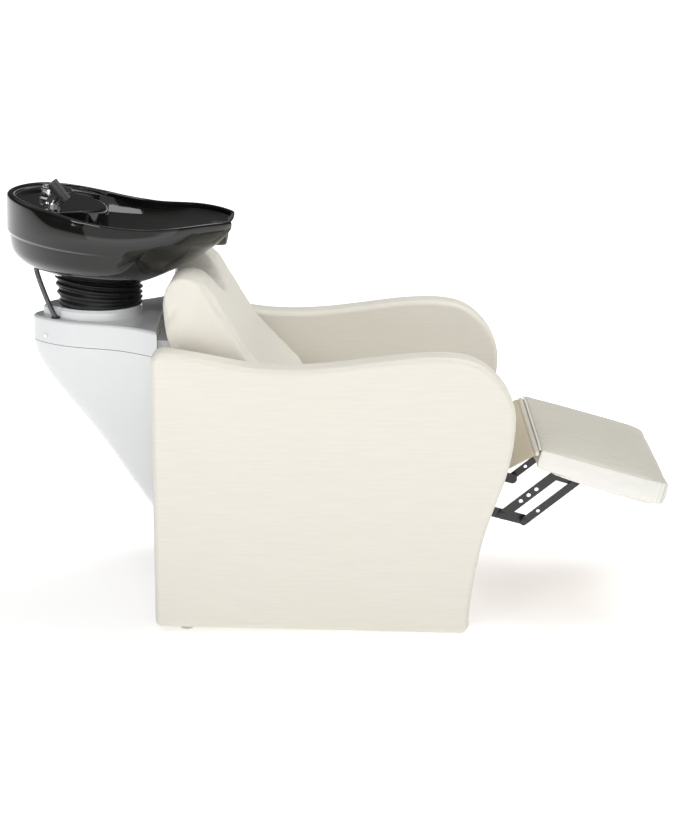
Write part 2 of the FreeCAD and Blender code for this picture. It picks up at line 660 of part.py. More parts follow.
def rim_height(x):
    return LOWEST_RIM + REAR_RISE * eased(455, 720, -x) + HORN_RISE * eased(-428, -255, x)


outside = Part.makeLoft([bowl_wire(*level) for level in OUTSIDE], True, False)

# The backrest's shoulders are hollowed under the basin, so that the two stay clear of each other.
SHOULDER_GAP = 4
hollow_levels = [bowl_wire(level, rear + SHOULDER_GAP, front + SHOULDER_GAP, half + SHOULDER_GAP)
                 for level, rear, front, half in OUTSIDE]
shoulder_relief = feature("shoulder_relief", Part.makeLoft(hollow_levels, True, False))
shoulder_relief.Placement = basin_place
node("backrest_cushion", cut("backrest_relief", parts["backrest_cushion"], shoulder_relief))

skirt = Part.makeLoft([bowl_wire(815, 211, 268, 229), bowl_wire(925, 216, 318, 235)], True, True)
skirt_end = Part.makeBox(500, 700, 400, Vector(foot_x + 120, -350, 700))
inside = Part.makeLoft([bowl_wire(*level) for level in INSIDE], True, False)
deck_recess = Part.makeLoft([bowl_wire(D["deck_level"], 196, 100, 214), bowl_wire(935, 203, 100, 222)],
                            True, True)


def tongue_wire(level, tip):
    """The tap deck in plan: a rounded tongue that reaches into the bowl as far as its tip."""
    edge = [Vector(tip - D["tongue_curve"] * y * y, y, level) for y in range(-200, 201, 25)]
    front = Part.BSplineCurve()
    front.interpolate(edge)
    near = Vector(foot_x - 260, -200, level)
    far = Vector(foot_x - 260, 200, level)
    return Part.Wire([front.toShape(), Part.makeLine(edge[-1], far), Part.makeLine(far, near),
                      Part.makeLine(near, edge[0])])


tongue = Part.makeLoft([tongue_wire(730, D["tongue_foot"]), tongue_wire(D["deck_level"], D["tongue_tip"])],
                       True, True)
inside = inside.cut(tongue)
tap_cavity = Part.makeBox(60, 150, 64, Vector(foot_x - 184, -75, 808))
TONGUE_WALL = 14
CAVITY_LOW = 790
CAVITY_HIGH = 872
cavity_tip = D["tongue_tip"] - TONGUE_WALL
tongue_cavity = Part.makeLoft([tongue_wire(CAVITY_LOW, cavity_tip), tongue_wire(CAVITY_HIGH, cavity_tip)],
                              True, True)
cavity_side = Part.makeBox(150, 200, CAVITY_HIGH - CAVITY_LOW, Vector(foot_x - 128, -100, CAVITY_LOW))
tap_cavity = tap_cavity.fuse(tongue_cavity.common(cavity_side))
basin_solid = outside.fuse(skirt.cut(skirt_end)).cut(inside).cut(deck_recess)

# The rim rises to the rear and to the front horns, and the neck opening is a round notch.
rim_points = [Vector(x, -400, rim_height(x)) for x in range(-800, -179, 20)]
rim_curve = Part.BSplineCurve()
rim_curve.interpolate(rim_points)
rim_wire = Part.Wire([rim_curve.toShape(),
                      Part.LineSegment(rim_points[-1], Vector(-180, -400, 1000)).toShape(),
                      Part.LineSegment(Vector(-180, -400, 1000), Vector(-800, -400, 1000)).toShape(),
                      Part.LineSegment(Vector(-800, -400, 1000), rim_points[0]).toShape()])
above_rim = Part.Face(rim_wire).extrude(Vector(0, 800, 0))
neck_notch = Part.makeCylinder(76, 300, Vector(-330, 0, 896), Vector(1, 0, 0.12))
hose_exit = Part.makeCylinder(8, 90, Vector(-661.5, -60, 730), Vector(0, 0, 1))
tap_holes = [Part.makeCylinder(radius, 60, Vector(x, y, 850), Vector(0, 0, 1))
             for x, y, radius in ((D["mixer_x"], 0, 14), (D["spray_x"], D["spray_y"], 12))]
drain_hole = Part.makeCylinder(D["drain_radius"], 60, Vector(D["drain_x"], 0, 700))
drain_recess = Part.makeCylinder(31, 20, Vector(D["drain_x"], 0, 744))
basin_solid = basin_solid.cut(above_rim).cut(neck_notch).cut(drain_hole).cut(drain_recess)
for hollow_part in [tap_cavity, hose_exit] + tap_holes:
    basin_solid = basin_solid.cut(hollow_part)
group("basin", [feature("basin_casting", basin_solid)], basin_place)

# Yoke plate and lug that hang the basin on the tilt pin.
yoke_plate = rod("yoke_plate", (foot_x, 0, 722), Z_AXIS, 74, 6)
lug = block("yoke_lug", (level_pin.x - 15, -24, level_pin.z - 15), (30, 48, 722.5 - level_pin.z + 15))
yoke = cut("yoke", fuse("yoke_solid", yoke_plate, lug),
           rod("yoke_bore", (level_pin.x, -60, level_pin.z), Y_AXIS,
               "dims.pin_radius + dims.running_gap", 120),
           rod("yoke_drain", ("drain_x", 0, 700), Z_AXIS, "dims.drain_radius + 1", 40),
           rod("yoke_pipe_a", (-584, -30, 700), Z_AXIS, 8, 40),
           rod("yoke_pipe_b", (-584, 30, 700), Z_AXIS, 8, 40))
group("tilt_yoke", [yoke], basin_place)

# Drain: a flange in the floor, a lift-out strainer in it and a tail below.
drain_x = D["drain_x"]
flange = cut("flange", fuse("flange_solid", rod("flange_disc", (drain_x, 0, 744), Z_AXIS, 30, 3),
                            rod("flange_barrel", (drain_x, 0, 716), Z_AXIS, "drain_radius", 29)),
             rod("flange_bore", (drain_x, 0, 700), Z_AXIS, 18, 80))
group("drain_flange", [flange], basin_place)
slots = [rod(f"strainer_slot_{number}", (drain_x + 9 * math.cos(math.radians(60 * number)),
                                          9 * math.sin(math.radians(60 * number)), 730), Z_AXIS, 3, 30)
         for number in range(6)]
strainer_solid = fuse("strainer_solid", rod("strainer_disc", (drain_x, 0, 747.3), Z_AXIS, 24, 2.5),
                      rod("strainer_cup", (drain_x, 0, 738), Z_AXIS, 17.6, 10),
                      rod("strainer_knob", (drain_x, 0, 749.5), Z_AXIS, 4, 8))
strainer = cut("strainer", strainer_solid, *slots)
group("drain_strainer", [strainer], basin_place)
tail = cut("tail", rod("tail_pipe", (drain_x, 0, 692), Z_AXIS, 19.5, 24),
           rod("tail_bore", (drain_x, 0, 690), Z_AXIS, 17, 30))
group("drain_tail", [tail], basin_place)

# Soft neck rest, a saddle in the neck opening.
rest_outer = Part.makeCylinder(75.6, 48, Vector(-300, 0, 899.6), Vector(1, 0, 0.12))
rest_inner = Part.makeCylinder(64, 80, Vector(-316, 0, 897.68), Vector(1, 0, 0.12))
rest_top = Part.makeBox(200, 300, 200, Vector(-360, -150, 862))
group("neck_rest", [feature("neck_rest_saddle", rest_outer.cut(rest_inner).cut(rest_top))], basin_place)

# Mixer tap: body, cap that turns, lever that lifts, and its indicator dot.
mixer_x = D["mixer_x"]
mixer_z = D["deck_level"] + 0.2
body_outline = [(0, mixer_z), (23, mixer_z), (23, mixer_z + 5), (19, mixer_z + 9), (18, mixer_z + 22),
                ("arc", (16.8, mixer_z + 25), (14, mixer_z + 26)), (0, mixer_z + 26)]


def turned(name, outline):
    """A body of revolution about its own Z axis."""
    body = doc.addObject("PartDesign::Body", name)
    sketch = body.newObject("Sketcher::SketchObject", name + "_section")
    origin = {item.Role: item for item in body.Origin.OriginFeatures}
    sketch.AttachmentSupport = (origin["XZ_Plane"], "")
    sketch.MapMode = "FlatFace"
    draw(sketch, outline)
    doc.recompute()
    spun = body.newObject("PartDesign::Revolution", name + "_spun")
    spun.Profile = sketch
    spun.ReferenceAxis = (sketch, ["V_Axis"])
    spun.Angle = 360
    sketch.Visibility = False
    doc.recompute()
    return body


mixer = turned("mixer_turning", body_outline)
mixer.Placement = FreeCAD.Placement(Vector(mixer_x, 0, 0), FreeCAD.Rotation())
shank = rod("mixer_shank", (mixer_x, 0, mixer_z - 50), Z_AXIS, 11, 50.5)
spout = rod("mixer_outlet", (mixer_x + 12, -10, mixer_z + 12), Vector(0.55, -0.83, 0), 7, 20)
group("mixer_body", [fuse("mixer_solid", mixer, shank, spout)], basin_place)
cap_base = mixer_z + 26.4
cap = turned("cap_turning", [(0, cap_base), (15, cap_base), (16, cap_base + 3),
                             ("arc", (13.5, cap_base + 9), (7, cap_base + 11)), (0, cap_base + 11)])
cap.Placement = FreeCAD.Placement(Vector(mixer_x, 0, 0), FreeCAD.Rotation())
cap_slot = block("cap_slot", (mixer_x - 4.2, -6.4, cap_base + 3), (40, 12.8, 20))
group("mixer_cap", [cut("mixer_cap_solid", cap, cap_slot)], basin_place)
lever_z = cap_base + 3.4
lever = plate("lever_blade", "XZ", [
    (mixer_x, lever_z), (mixer_x + 18, lever_z), (mixer_x + 46, lever_z - 4),
    (mixer_x + 50, lever_z - 1), (mixer_x + 46, lever_z + 3), (mixer_x + 22, lever_z + 7.4),
    (mixer_x, lever_z + 7.4), ("arc", (mixer_x - 3.7, lever_z + 3.7), (mixer_x, lever_z))], 12, -6)
group("mixer_lever", [lever], basin_place)
group("mixer_dot", [rod("dot", (mixer_x + 10, 0, lever_z + 7.4), Z_AXIS, 3, 1)], basin_place)

# Hand spray in its holder, on the tap deck's near side, leaning forwards.
spray_lean = Vector(0.5, -0.1, 1).normalize()
spray_foot = Vector(D["spray_x"], D["spray_y"], D["deck_level"] + 0.2)
cup_foot = spray_foot + Vector(1, 0, 6.5)
holder = fuse("holder_solid", rod("holder_base", tuple(spray_foot), Z_AXIS, 17, 5),
              rod("holder_cup", tuple(cup_foot), spray_lean, 13, 11),
              rod("holder_shank", (spray_foot.x, spray_foot.y, spray_foot.z - 24), Z_AXIS, 10, 26))
holder_bore = rod("holder_bore", tuple(cup_foot + spray_lean * 3), spray_lean, 10, 60)
group("spray_holder", [cut("holder", holder, holder_bore)], basin_place)
grip_start = cup_foot + spray_lean * 3.6
grip = rod("spray_grip", tuple(grip_start), spray_lean, 9.4, 27)
spray_face = Vector(0.687, 0.02, -0.727).normalize()
head_start = grip_start + spray_lean * 27 - spray_face * 25
rose = rod("spray_rose", tuple(head_start), spray_face, 13, 50)
group("spray_head", [fuse("spray_solid", grip, rose)], basin_place)

# ---- gaiter and hoses ------------------------------------------------------------------------------
gaiter_foot = Vector(D["neck_x"], 0, D["platform_high"])
gaiter_top = basin_place.multVec(Vector(foot_x, 0, D["basin_z"] - 0.4))
fold_count = 4


def gaiter_ring(share, radius):
    """A ring part of the way from the collar to the basin's foot, leaning as far as it has come."""
    middle = gaiter_foot + (gaiter_top - gaiter_foot) * share
    lean = math.radians(D["tilt_angle"] * share)
    return Part.Wire(Part.makeCircle(radius, middle, Vector(math.sin(lean), 0, math.cos(lean))))


outer_rings = [gaiter_ring(step / (2 * fold_count), D["gaiter_radius"] if step % 2 else D["gaiter_neck"])
               for step in range(2 * fold_count + 1)]
inner_rings = [gaiter_ring(share, D["gaiter_neck"] - 5) for share in (-0.01, 1.01)]
gaiter_solid = Part.makeLoft(outer_rings, True, True).cut(Part.makeLoft(inner_rings, True, True))
node("gaiter", feature("gaiter", gaiter_solid))

SPRAY_ROUTE = [(-657, -60, 780), (-659.5, -60, 757), (-653, -60, 733), (-641.5, -59, 698),
               (-629.5, -57.5, 667), (-619, -56, 644), (-616, -55.5, 622), (-616, -55, 600)]
node("spray_hose", tube("spray_hose", SPRAY_ROUTE, D["hose_radius"], 3.5))


def supply_route(side, y):
    return [(-585, 30 * side, 732.8), (-583, 31 * side, 700), (-575, 38 * side, 660), (-564, 50 * side, 622),
            (-545, 54 * side, 572), (-514, y * side, 494), (-478, y * side, 410), (-440, y * side, 335),
            (-396, y * side, 262), (-344, y * side, 196), (-296, y * side, 142), (-250, y * side, 98),
            (-205, y * side, 74), (-165, y * side, 74)]


supply = [tube(f"supply_{word}", supply_route(side, 50), D["supply_radius"], 3)
          for word, side in (("hot", 1), ("cold", -1))]
group("supply_hoses", supply)
WASTE_ROUTE = [(-472.8, 0, 701), (-475.8, -1, 673), (-474, -8, 640), (-466, -20, 604), (-456, -38, 562),
               (-448, -55, 514), (-437, -66, 458), (-424, -71, 396), (-401, -72, 334), (-368, -71, 276),
               (-327, -70, 220), (-284, -71, 168), (-241, -75, 122), (-199, -84, 88), (-158, -94, 71),
               (-119, -98, 66), (-84, -98, 66)]
node("waste_hose", tube("waste_hose", WASTE_ROUTE, D["waste_radius"], 12.5))


def stub(name, end, before, radius, bore, length):
    """A pipe stub that carries on from a hose's end."""
    heading = (Vector(*end) - Vector(*before)).normalize()
    pipe = rod(name + "_pipe", end, heading, radius, length)
    return cut(name, pipe, rod(name + "_bore", end, heading, bore, length + 5))


inlets = []
for word, side in (("hot", 1), ("cold", -1)):
    route = supply_route(side, 50)
    inlets.append(stub("inlet_" + word, route[-1], route[-2], 10.5, 6, 40))
group("water_inlets", inlets)
node("waste_outlet", stub("waste_outlet", WASTE_ROUTE[-1], WASTE_ROUTE[-2], 20, 16, 50))

# ---- checks and export -----------------------------------------------------------------------------
doc.recompute()
for thing in doc.Objects:
    if {"Invalid", "Error"} & set(thing.State):
        raise SystemExit(f"{thing.Label} failed: {thing.State}")
os.makedirs("parts", exist_ok=True)
whole = FreeCAD.BoundBox()
for name, thing in parts.items():
    shape = thing.Shape
    if shape.isNull() or not shape.isValid() or not shape.Solids:
        raise SystemExit(f"{name} has no valid solid")
    whole.add(shape.BoundBox)
    shape.exportStep(f"parts/{name}.step")
print(f"{len(parts)} nodes, box {whole.XMin:.1f} {whole.XMax:.1f} {whole.YMin:.1f} {whole.YMax:.1f} "
      f"{whole.ZMin:.1f} {whole.ZMax:.1f}")
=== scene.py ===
import math

import bpy
import numpy as np
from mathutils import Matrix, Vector, noise


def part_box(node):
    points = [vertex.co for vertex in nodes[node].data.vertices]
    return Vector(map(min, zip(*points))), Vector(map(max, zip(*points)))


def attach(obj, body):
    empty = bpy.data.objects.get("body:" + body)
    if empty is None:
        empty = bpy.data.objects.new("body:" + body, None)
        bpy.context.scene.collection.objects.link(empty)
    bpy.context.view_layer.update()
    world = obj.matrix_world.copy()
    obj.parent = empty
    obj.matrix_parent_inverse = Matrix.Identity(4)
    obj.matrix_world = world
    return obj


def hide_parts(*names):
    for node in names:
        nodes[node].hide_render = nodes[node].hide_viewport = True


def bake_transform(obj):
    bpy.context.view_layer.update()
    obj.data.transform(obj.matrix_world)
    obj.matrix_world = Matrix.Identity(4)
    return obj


# Salon backwash unit. Metres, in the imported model's own frame: +X forward, +Y the sitter's left, +Z up.
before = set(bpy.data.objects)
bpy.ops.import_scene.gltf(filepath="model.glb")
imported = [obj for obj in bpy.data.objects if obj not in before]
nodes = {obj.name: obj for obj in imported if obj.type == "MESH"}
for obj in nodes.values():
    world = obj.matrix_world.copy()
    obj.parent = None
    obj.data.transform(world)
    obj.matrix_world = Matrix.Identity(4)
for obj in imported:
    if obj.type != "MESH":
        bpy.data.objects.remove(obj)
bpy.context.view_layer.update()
mm = 0.001


# ---- camera, floor and light -----------------------------------------------------------------------
def make_camera():
    data = bpy.data.cameras.new("camera")
    data.sensor_width = 36
    data.lens = 103.55
    camera = bpy.data.objects.new("camera", data)
    camera.location = (0.008, -5.141, 1.726)
    camera.rotation_euler = (math.radians(75.78), 0, 0)
    bpy.context.scene.collection.objects.link(camera)
    bpy.context.scene.camera = camera


def area_light(name, place, target, size, power):
    data = bpy.data.lights.new(name, "AREA")
    data.shape = "RECTANGLE"
    data.size, data.size_y = size
    data.energy = power
    light = bpy.data.objects.new(name, data)
    light.location = place
    light.rotation_euler = (Vector(target) - Vector(place)).to_track_quat("-Z", "Y").to_euler()
    bpy.context.scene.collection.objects.link(light)


def make_studio():
    """A sky that is white at the horizon, dark just above it and dim overhead, with large soft lights."""
    world = bpy.data.worlds.new("studio")
    bpy.context.scene.world = world
    world.use_nodes = True
    tree = world.node_tree
    heading = tree.nodes.new("ShaderNodeTexCoord").outputs["Generated"]
    split = tree.nodes.new("ShaderNodeSeparateXYZ")
    tree.links.new(heading, split.inputs["Vector"])
    ramp = tree.nodes.new("ShaderNodeValToRGB").color_ramp
    ramp.elements[0].position = 0.0
    ramp.elements[0].color = (1, 1, 1, 1)
    ramp.elements[1].position = 1.0
    ramp.elements[1].color = (0.5, 0.5, 0.5, 1)
    for height, level in ((0.02, 1.0), (0.09, 0.05), (0.38, 0.05), (0.72, 0.42)):
        ramp.elements.new(height).color = (level, level, level, 1)
    tree.links.new(split.outputs["Z"], tree.nodes["Color Ramp"].inputs["Fac"])
    tree.links.new(tree.nodes["Color Ramp"].outputs["Color"], tree.nodes["Background"].inputs["Color"])
    tree.nodes["Background"].inputs["Strength"].default_value = 1.05
    area_light("key", (-0.9, -2.9, 2.6), (-0.5, 0, 0.6), (2.3, 1.0), 40)
    area_light("fill", (1.3, -4.6, 1.5), (0.1, 0, 0.4), (5.0, 3.0), 36)
    area_light("top", (1.3, 0.6, 3.4), (0.3, 0, 0.4), (2.6, 2.2), 66)
    bpy.context.scene.view_settings.view_transform = "Standard"


# ---- materials -------------------------------------------------------------------------------------
class Surface:
    """A material under construction: its node tree, its shader and short ways to join nodes to them."""

    def __init__(self, name, colour, roughness, **settings):
        self.material = bpy.data.materials.new(name)
        self.material.use_nodes = True
        self.tree = self.material.node_tree
        self.shader = self.tree.nodes["Principled BSDF"]
        self.set("Base Color", (*colour, 1))
        self.set("Roughness", roughness)
        for socket, number in settings.items():
            self.set(socket.replace("_", " "), number)
        self.colour = colour
        self.place = self.tree.nodes.new("ShaderNodeTexCoord").outputs["Object"]
        self.height = None

    def set(self, socket, number):
        self.shader.inputs[socket].default_value = number

    def scaled(self, scale, turn=(0, 0, 0)):
        mapping = self.tree.nodes.new("ShaderNodeMapping")
        mapping.inputs["Scale"].default_value = scale
        mapping.inputs["Rotation"].default_value = turn
        self.tree.links.new(self.place, mapping.inputs["Vector"])
        return mapping.outputs["Vector"]

    def noise(self, scale=(1, 1, 1), size=1.0, detail=3.0, turn=(0, 0, 0)):
        texture = self.tree.nodes.new("ShaderNodeTexNoise")
        texture.inputs["Scale"].default_value = size
        texture.inputs["Detail"].default_value = detail
        self.tree.links.new(self.scaled(scale, turn), texture.inputs["Vector"])
        return texture.outputs["Fac"]

    def cells(self, size, scale=(1, 1, 1)):
        texture = self.tree.nodes.new("ShaderNodeTexVoronoi")
        texture.inputs["Scale"].default_value = size
        self.tree.links.new(self.scaled(scale), texture.inputs["Vector"])
        return texture.outputs["Distance"]

    def wave(self, size, scale, direction="X", distortion=0.0):
        texture = self.tree.nodes.new("ShaderNodeTexWave")
        texture.bands_direction = direction
        texture.inputs["Scale"].default_value = size
        texture.inputs["Distortion"].default_value = distortion
        self.tree.links.new(self.scaled(scale), texture.inputs["Vector"])
        return texture.outputs["Fac"]

    def ramp(self, factor, low, high, first, last):
        ramp = self.tree.nodes.new("ShaderNodeValToRGB")
        ramp.color_ramp.elements[0].position = low
        ramp.color_ramp.elements[1].position = high
        ramp.color_ramp.elements[0].color = (*first, 1)
        ramp.color_ramp.elements[1].color = (*last, 1)
        self.tree.links.new(factor, ramp.inputs["Fac"])
        return ramp.outputs["Color"]

    def tint(self, factor, low, high, first, last):
        self.tree.links.new(self.ramp(factor, low, high, first, last), self.shader.inputs["Base Color"])

    def paint_side_light(self, colour):
        """Another colour on the faces that look sideways: painted light, a copy of the material lit
        differently from the top.
        """
        normal = self.tree.nodes.new("ShaderNodeNewGeometry").outputs["Normal"]
        split = self.tree.nodes.new("ShaderNodeSeparateXYZ")
        size = self.tree.nodes.new("ShaderNodeMath")
        size.operation = "ABSOLUTE"
        mix = self.tree.nodes.new("ShaderNodeMix")
        mix.data_type = "RGBA"
        self.tree.links.new(normal, split.inputs["Vector"])
        self.tree.links.new(split.outputs["Y"], size.inputs[0])
        share = self.ramp(size.outputs["Value"], 0.55, 0.72, (0, 0, 0), (1, 1, 1))
        self.tree.links.new(share, mix.inputs["Factor"])
        self.tree.links.new(self.shader.inputs["Base Color"].links[0].from_socket, mix.inputs["A"])
        mix.inputs["B"].default_value = (*colour, 1)
        self.tree.links.new(mix.outputs["Result"], self.shader.inputs["Base Color"])

    def vary_roughness(self, factor, low, high):
        span = self.tree.nodes.new("ShaderNodeMapRange")
        span.inputs["To Min"].default_value = low
        span.inputs["To Max"].default_value = high
        self.tree.links.new(factor, span.inputs["Value"])
        self.tree.links.new(span.outputs["Result"], self.shader.inputs["Roughness"])

    def bump(self, factor, strength, distance):
        node = self.tree.nodes.new("ShaderNodeBump")
        node.inputs["Strength"].default_value = strength
        node.inputs["Distance"].default_value = distance
        self.tree.links.new(factor, node.inputs["Height"])
        if self.height is not None:
            self.tree.links.new(self.height, node.inputs["Normal"])
        self.height = node.outputs["Normal"]
        self.tree.links.new(self.height, self.shader.inputs["Normal"])


IVORY = (0.735, 0.705, 0.63)


def vinyl(name, slub_scale, colour=IVORY, contrast=0.03, lit_side_colour=None):
    """Ivory upholstery vinyl with a slubbed grain; slub_scale is small along the slubs.

    The side colour goes on the faces of a cushion that look sideways: painted light, a copy of the vinyl lit
    differently from the top.
    """
    surface = Surface(name, colour, 0.48, Specular_IOR_Level=0.34, Sheen_Weight=0.06)
    slub = surface.noise(slub_scale, 1.0, 4.0)
    dark = tuple(part * (1 - contrast) for part in colour)
    light = tuple(min(1.0, part * (1 + contrast * 0.5)) for part in colour)
    surface.tint(slub, 0.36, 0.64, dark, light)
    # Faces that look sideways get the side colour: painted light, where a cushion's sides are lit
    # differently from its top.
    if lit_side_colour:
        surface.paint_side_light(lit_side_colour)
    surface.vary_roughness(slub, 0.42, 0.54)
    surface.bump(slub, 0.16, 0.0004)
    surface.bump(surface.cells(900), 0.08, 0.0002)
    surface.bump(surface.noise(size=7, detail=2.0), 0.10, 0.004)
    return surface.material


def painted(name, colour, roughness, coat=0.0):
    """Paint or moulded plastic with a faint orange peel and worn-in gloss."""
    surface = Surface(name, colour, roughness, Coat_Weight=coat, Coat_Roughness=0.06)
    surface.vary_roughness(surface.noise(size=14), roughness * 0.8, roughness * 1.25)
    light = tuple(min(1.0, part * 1.04) for part in colour)
    surface.tint(surface.noise(size=5), 0.3, 0.7, colour, light)
    surface.bump(surface.noise(size=210, detail=1.0), 0.06, 0.0004)
    return surface.material


def ceramic_glaze():
    """Black glaze: a clear coat over dark clay, with the faint waves of a fired surface."""
    surface = Surface("black_glaze", (0.006, 0.006, 0.0055), 0.08, Coat_Weight=0.35, Coat_Roughness=0.03,
                      Specular_IOR_Level=0.35)
    surface.vary_roughness(surface.noise(size=20), 0.05, 0.10)
    surface.tint(surface.noise(size=6), 0.3, 0.7, (0.005, 0.005, 0.0045), (0.010, 0.010, 0.009))
    surface.bump(surface.noise(size=7, detail=1.0), 0.05, 0.004)
    return surface.material


def rubber():
    surface = Surface("gaiter_rubber", (0.007, 0.007, 0.007), 0.36, Specular_IOR_Level=0.3)
    surface.vary_roughness(surface.noise(size=26), 0.30, 0.48)
    surface.tint(surface.noise(size=40), 0.3, 0.75, (0.005, 0.005, 0.005), (0.012, 0.012, 0.012))
    surface.bump(surface.noise(size=320, detail=2.0), 0.12, 0.0004)
    return surface.material


def metal(name, colour, roughness, brush=None):
    """Bare or plated metal; brush is the scale of its brushing, small along the strokes."""
    surface = Surface(name, colour, roughness, Metallic=1.0)
    scratches = surface.noise(brush or (60, 60, 60), 1.0, 4.0)
    surface.vary_roughness(scratches, roughness * 0.7, roughness * 1.5)
    surface.tint(surface.noise(size=12), 0.25, 0.75, tuple(part * 0.93 for part in colour), colour)
    surface.bump(scratches, 0.10 if brush else 0.02, 0.0003)
    return surface.material


def plywood():
    surface = Surface("plywood_face", (0.60, 0.43, 0.25), 0.6)
    grain = surface.noise((3, 26, 90), 1.0, 5.0)
    surface.tint(grain, 0.3, 0.72, (0.42, 0.28, 0.15), (0.68, 0.50, 0.31))
    surface.vary_roughness(grain, 0.5, 0.72)
    surface.bump(grain, 0.25, 0.0005)
    return surface.material


def braid():
    """Stainless braid: two sets of fine crossing strands."""
    surface = Surface("steel_braid_weave", (0.12, 0.12, 0.125), 0.34, Metallic=0.9)
    strands = surface.wave(150, (1, 1, 1.4), "DIAGONAL", 0.6)
    surface.tint(strands, 0.25, 0.75, (0.02, 0.02, 0.021), (0.24, 0.24, 0.25))
    surface.bump(strands, 0.7, 0.0006)
    surface.bump(surface.wave(150, (-1, 1, 1.4), "DIAGONAL", 0.6), 0.5, 0.0005)
    return surface.material


def make_materials():
    return {
        "arm": vinyl("ivory_vinyl_arm", (16, 16, 330), contrast=0.022),
        "back": vinyl("ivory_vinyl_back", (60, 300, 14), contrast=0.07, lit_side_colour=IVORY),
        # The pad's top is a darker copy of the ivory vinyl and its sides a lighter one: painted shade on the
        # top and painted light on the sides.
        "pad": vinyl("ivory_vinyl_pad_painted_light", (14, 320, 60), (0.60, 0.575, 0.505), 0.07, (0.80, 0.785, 0.74)),
        # The flap's darker olive colour is painted shade and warm bounce light on the same ivory vinyl,
        # where the arms shadow it.
        "flap": vinyl("ivory_vinyl_flap_painted_shade", (14, 320, 60), (0.52, 0.46, 0.34), 0.05),
        # The welt is a lighter copy of the ivory vinyl: a painted highlight along the piping.
        "welt": vinyl("ivory_vinyl_welt_painted_highlight", (160, 160, 160), (0.80, 0.775, 0.70)),
        "white": painted("pedestal_white", (0.70, 0.715, 0.72), 0.16, 0.5),
        "glaze": ceramic_glaze(),
        "rubber": rubber(),
        "gel": painted("neck_gel_black", (0.018, 0.018, 0.019), 0.42),
        "chrome": metal("chrome_plate", (0.86, 0.87, 0.88), 0.07),
        "steel": metal("brushed_steel_face", (0.52, 0.52, 0.53), 0.32, (8, 8, 260)),
        "black_steel": painted("black_paint", (0.016, 0.016, 0.017), 0.34, 0.2),
        "dark_plastic": painted("dark_grey_plastic", (0.045, 0.045, 0.048), 0.36),
        "glide": painted("pale_glide_plastic", (0.62, 0.60, 0.54), 0.45),
        "red": painted("red_plastic_dot", (0.55, 0.02, 0.015), 0.25, 0.4),
        "ply": plywood(),
        "braid": braid(),
        "pipe": painted("white_pipe_plastic", (0.72, 0.72, 0.70), 0.40),
        "brass": metal("brass_face", (0.72, 0.52, 0.23), 0.28, (30, 240, 240)),
    }


CAD_SURFACES = {
    "arm_board_left": "ply", "arm_board_right": "ply", "front_rail": "ply", "rear_rail": "ply",
    "low_rail": "ply", "seat_board": "ply", "backrest_board": "ply", "footrest_board": "ply",
    "seat_frame": "black_steel", "footrest_bracket_left": "black_steel",
    "footrest_bracket_right": "black_steel", "swing_link_left": "black_steel",
    "swing_link_right": "black_steel", "lift_link_left": "black_steel", "lift_link_right": "black_steel",
    "guide_link_left": "black_steel", "guide_link_right": "black_steel", "link_rivets": "black_steel",
    "footrest_pad_brackets": "black_steel", "flap_hinge": "black_steel", "swing_shaft": "steel",
    "frame_bolts": "steel", "tilt_clevis": "steel", "tilt_pin": "steel", "tilt_yoke": "steel",
    "base_plate": "steel", "pedestal_column": "steel", "pedestal_shell": "white",
    "pedestal_cover": "white", "gaiter_collar": "white", "chair_connector": "white",
    "hose_grommet": "rubber", "waste_hose": "rubber", "supply_hoses": "braid", "neck_rest": "gel",
    "mixer_body": "chrome", "mixer_cap": "chrome", "drain_flange": "chrome", "drain_strainer": "chrome",
    "spray_holder": "chrome", "spray_head": "dark_plastic", "cover_screws": "chrome",
    "mixer_lever": "dark_plastic", "arm_glides": "glide", "mixer_dot": "red", "drain_tail": "pipe",
    "waste_outlet": "pipe", "water_inlets": "brass",
}


def dress_cad(surfaces):
    """Give each kept CAD node its finished material."""
    for name, key in CAD_SURFACES.items():
        mesh = nodes[name].data
        mesh.materials.clear()
        mesh.materials.append(surfaces[key])


# ---- mesh helpers ----------------------------------------------------------------------------------
def new_object(name, mesh, material):
    mesh.materials.clear()
    mesh.materials.append(material)
    thing = bpy.data.objects.new(name, mesh)
    bpy.context.scene.collection.objects.link(thing)
    for face in mesh.polygons:
        face.use_smooth = True
    return thing


def grid_mesh(name, rows, close_across=False, caps=True):
    """A mesh from rows of points, each row a closed ring; caps fill the first and the last ring."""
    count = len(rows[0])
    points = [point for row in rows for point in row]
    faces = []
    for row in range(len(rows) - 1 + (1 if close_across else 0)):
        here = row * count
        there = (row + 1) % len(rows) * count
        for step in range(count):
            ahead = (step + 1) % count
            faces.append((here + step, here + ahead, there + ahead, there + step))
    if caps and not close_across:
        for row, turn in ((0, -1), (len(rows) - 1, 1)):
            middle = len(points)
            ring = [Vector(point) for point in rows[row]]
            points.append(sum(ring, Vector()) / count)
            for step in range(count):
                ahead = (step + 1) % count
                pair = (row * count + step, row * count + ahead)
                faces.append((pair[0], pair[1], middle)[::turn])
    mesh = bpy.data.meshes.new(name)
    mesh.from_pydata([tuple(point) for point in points], [], faces)
    mesh.update()
    return mesh


def baked(thing):
    """The object's mesh with its modifiers applied, at the present frame."""
    graph = bpy.context.evaluated_depsgraph_get()
    return bpy.data.meshes.new_from_object(thing.evaluated_get(graph))


def apply_modifiers(thing):
    mesh = baked(thing)
    thing.modifiers.clear()
    thing.data = mesh


def coordinates(mesh):
    flat = np.zeros(len(mesh.vertices) * 3)
    mesh.vertices.foreach_get("co", flat)
    return flat.reshape(-1, 3)


def normals(mesh):
    flat = np.zeros(len(mesh.vertices) * 3)
    mesh.vertices.foreach_get("normal", flat)
    return flat.reshape(-1, 3)


def move_vertices(mesh, points):
    mesh.vertices.foreach_set("co", points.astype(np.float32).ravel())
    mesh.update()


def smoothstep(low, high, value):
    share = np.clip((value - low) / (high - low), 0, 1)
    return share * share * (3 - 2 * share)


